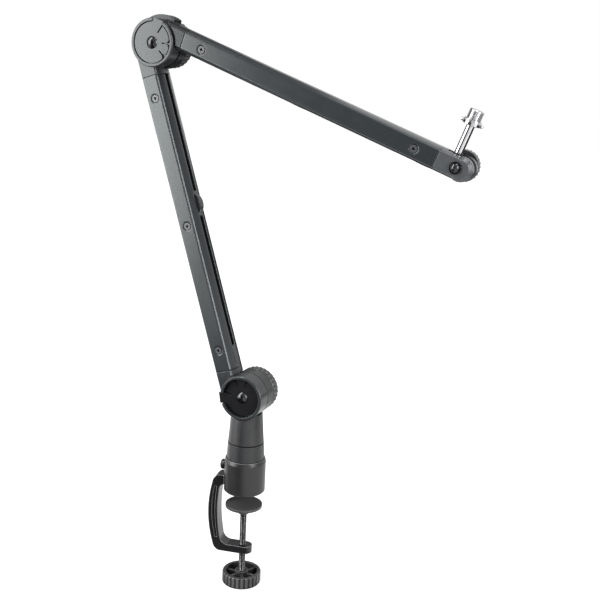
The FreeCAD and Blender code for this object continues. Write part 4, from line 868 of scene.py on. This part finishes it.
# Studio
def panel(name: str, corners: list[Point]) -> tuple[bpy.types.Object, Tree]:
    """Make a four-sided panel with an empty material.

    Args:
        name: the name of the panel and its material.
        corners: its corners in order.

    Returns:
        The panel and the short hand on its material's tree.
    """
    mesh = bpy.data.meshes.new(name)
    mesh.from_pydata(corners, [], [(0, 1, 2, 3)])
    material = bpy.data.materials.new(name)
    mesh.materials.append(material)
    return show(name, mesh), Tree.emptied(material)


@dataclass(frozen=True)
class Softbox:
    """One rectangular lamp."""

    name: str
    place: Point
    target: Point
    width: float
    height: float
    power: float

    def hang(self) -> None:
        """Hang the lamp at its place and turn it to its target."""
        lamp = bpy.data.lights.new(self.name, "AREA")
        lamp.shape = "RECTANGLE"
        lamp.size, lamp.size_y = self.width, self.height
        lamp.energy = self.power
        away = unit(np.array(self.place) - np.array(self.target))
        right = unit(np.cross(UPWARD, away))
        aim(show(self.name, lamp), self.place, [right, np.cross(away, right), away])


@dataclass(frozen=True)
class Flag:
    """One grey card that only reflections see, from its centre and two half sides."""

    name: str
    centre: Point
    across: Point
    along: Point
    grey: float

    def stand(self) -> None:
        """Stand the card up as a stage piece of one even grey."""
        centre, across, along = (np.array(v) for v in (self.centre, self.across, self.along))
        corners = [centre - across - along, centre + across - along, centre + across + along,
                   centre - across + along]
        card, tree = panel(self.name, [tuple(map(float, corner)) for corner in corners])
        tone = tree.add("ShaderNodeEmission", {"Color": WHITE, "Strength": self.grey})
        tree.add("ShaderNodeOutputMaterial", {"Surface": tone.outputs[0]})
        card.visible_camera = False
        card.visible_diffuse = False
        card.visible_transmission = False
        card.visible_shadow = False


@dataclass
class Studio:
    """White floor and surroundings, soft lamps, grey cards and the camera at the photograph's angle.

    fill is the strength of the surroundings for matt surfaces.  The floor glows by near_glow within
    shadow_reach of the arm and by 1 past white_reach, and by the share floor_fill of that for matt surfaces.
    """

    floor_height: float = -0.1225
    floor_half: float = 8.0
    floor_paint: float = 0.32
    floor_fill: float = 0.2
    card_lift: float = 0.001
    shadow_reach: float = 0.35
    white_reach: float = 1.2
    near_glow: float = 0.86
    fill: float = 0.45
    lens: float = 56.2
    sensor: float = 36.0
    stand: Point = (0.459788, -0.959561, 0.483821)
    yaw: float = -0.39293
    pitch: float = 0.22565
    roll: float = 0.04588

    def seen_share(self, tree: Tree) -> Socket:
        """Return 1 for rays from the camera, from gloss and through glass, and 0 for others."""
        path = tree.add("ShaderNodeLightPath").outputs
        seen = tree.maths("ADD", path["Is Camera Ray"], path["Is Glossy Ray"])
        seen = tree.maths("ADD", seen, path["Is Transmission Ray"])
        return tree.maths("MINIMUM", seen, 1.0)

    def set_world(self) -> None:
        """Make the surroundings white to look at and a soft fill for matt surfaces."""
        world = bpy.data.worlds.new("Studio white")
        tree = Tree.emptied(world)
        strength = tree.ramp(self.seen_share(tree), 0.0, 1.0, self.fill, 1.0)
        white = tree.add("ShaderNodeBackground", {"Color": WHITE, "Strength": strength})
        tree.add("ShaderNodeOutputWorld", {"Surface": white.outputs[0]})
        bpy.context.scene.world = world

    def lay_floor(self) -> None:
        """Lay a white floor that takes the arm's shadow near it and goes over to plain white farther out."""
        half, z = self.floor_half, self.floor_height
        corners = [(-half, -half, z), (half, -half, z), (half, half, z), (-half, half, z)]
        floor, tree = panel("studio_floor", corners)
        paint = tree.add("ShaderNodeBsdfDiffuse", {"Color": (*[self.floor_paint] * 3, 1.0)})
        place = tree.add("ShaderNodeNewGeometry").outputs["Position"]
        reach = tree.add("ShaderNodeVectorMath", {0: place}, operation="LENGTH").outputs["Value"]
        glow = tree.ramp(reach, self.shadow_reach, self.white_reach, self.near_glow, 1.0)
        share = tree.ramp(self.seen_share(tree), 0.0, 1.0, self.floor_fill, 1.0)
        strength = tree.maths("MULTIPLY", glow, share)
        light = tree.add("ShaderNodeEmission", {"Color": WHITE, "Strength": strength})
        both = tree.add("ShaderNodeAddShader", {0: paint.outputs[0], 1: light.outputs[0]})
        tree.add("ShaderNodeOutputMaterial", {"Surface": both.outputs[0]})

    def hang_lamps(self) -> None:
        """Hang the key lamp at the left, a second at the right, a top light and a high one for the edges."""
        for lamp in (
            Softbox("Key softbox", (-1.45, -1.28, 0.55), (-0.06, 0.0, 0.35), 1.2, 1.6, 51.0),
            Softbox("Side softbox", (1.6, -0.65, 0.75), (0.0, 0.0, 0.3), 0.5, 1.2, 24.0),
            Softbox("Top softbox", (0.7, -0.12, 1.9), (0.3, 0.0, 0.35), 0.9, 0.8, 14.0),
            Softbox("High softbox", (-0.85, -0.85, 1.65), (0.0, 0.0, 0.0), 0.5, 1.2, 23.0),
        ):
            lamp.hang()

    def stand_flags(self) -> None:
        """Stand grey cards round the arm, with gaps between them, for the tone of its glossy faces."""
        ground = self.floor_height + self.card_lift
        for flag in (
            Flag("front_flag", (-0.275, -1.6, 0.65), (0.675, 0.0, 0.0), (0.0, 0.0, 0.77), 0.13),
            Flag("floor_flag", (-0.25, -1.0, ground), (0.33, 0.0, 0.0), (0.0, 1.0, 0.0), 0.14),
            Flag("back_floor_flag", (0.0, 2.1, ground), (1.8, 0.0, 0.0), (0.0, 0.9, 0.0), 0.05),
            Flag("side_floor_flag", (1.7, 0.525, ground), (0.9, 0.0, 0.0), (0.0, 0.675, 0.0), 0.04),
            Flag("top_flag", (0.0, 0.3, 2.3), (1.5, 0.0, 0.0), (0.0, 1.3, 0.0), 0.06),
            Flag("left_floor_flag", (-0.625, 0.825, ground), (0.775, 0.0, 0.0), (0.0, 0.375, 0.0), 0.05),
            Flag("back_flag", (-0.7, 1.9, 0.2), (1.1, 0.0, 0.0), (0.0, 0.0, 0.3), 0.06),
            Flag("mid_back_flag", (-1.275, 1.9, 0.95), (0.525, 0.0, 0.0), (0.0, 0.0, 0.45), 0.4),
            Flag("high_back_flag", (-1.025, 1.9, 1.85), (0.775, 0.0, 0.0), (0.0, 0.0, 0.45), 0.06),
            Flag("right_flag", (1.9, 0.6, 1.3), (0.0, 1.0, 0.0), (0.0, 0.0, 0.6), 0.55),
            Flag("left_flag", (-2.2, 0.6, 0.9), (0.0, 1.0, 0.0), (0.0, 0.0, 1.0), 0.05),
        ):
            flag.stand()

    def place_camera(self) -> None:
        """Set the camera from its place and its yaw, pitch and roll."""
        cy, sy, cp, sp = math.cos(self.yaw), math.sin(self.yaw), math.cos(self.pitch), math.sin(self.pitch)
        forward = np.array((sy * cp, cy * cp, -sp))
        level = np.array((cy, -sy, 0.0))
        upright = np.cross(level, forward)
        right = math.cos(self.roll) * level + math.sin(self.roll) * upright
        up = -math.sin(self.roll) * level + math.cos(self.roll) * upright
        data = bpy.data.cameras.new("Camera")
        data.lens = self.lens
        data.sensor_width = self.sensor
        data.sensor_fit = "HORIZONTAL"
        camera = show("Camera", data)
        aim(camera, self.stand, [right, up, -forward])
        bpy.context.scene.camera = camera

    def build(self) -> None:
        """Build the whole studio."""
        self.set_world()
        self.lay_floor()
        self.hang_lamps()
        self.stand_flags()
        self.place_camera()
        bpy.context.scene.view_settings.view_transform = "Standard"


def main() -> None:
    """Build the sub-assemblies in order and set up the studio."""
    logging.basicConfig(level=logging.INFO, format="%(message)s")
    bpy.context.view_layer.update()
    wardrobe = Wardrobe()
    for group in (ClampSet(), ColumnSet(), LowerArm(), UpperArm(), MicStud()):
        for piece in group.dress(wardrobe):
            LOG.info("%s: %d faces", piece.name, len(piece.data.polygons))
    Studio().build()


if __name__ == "__main__":
    main()
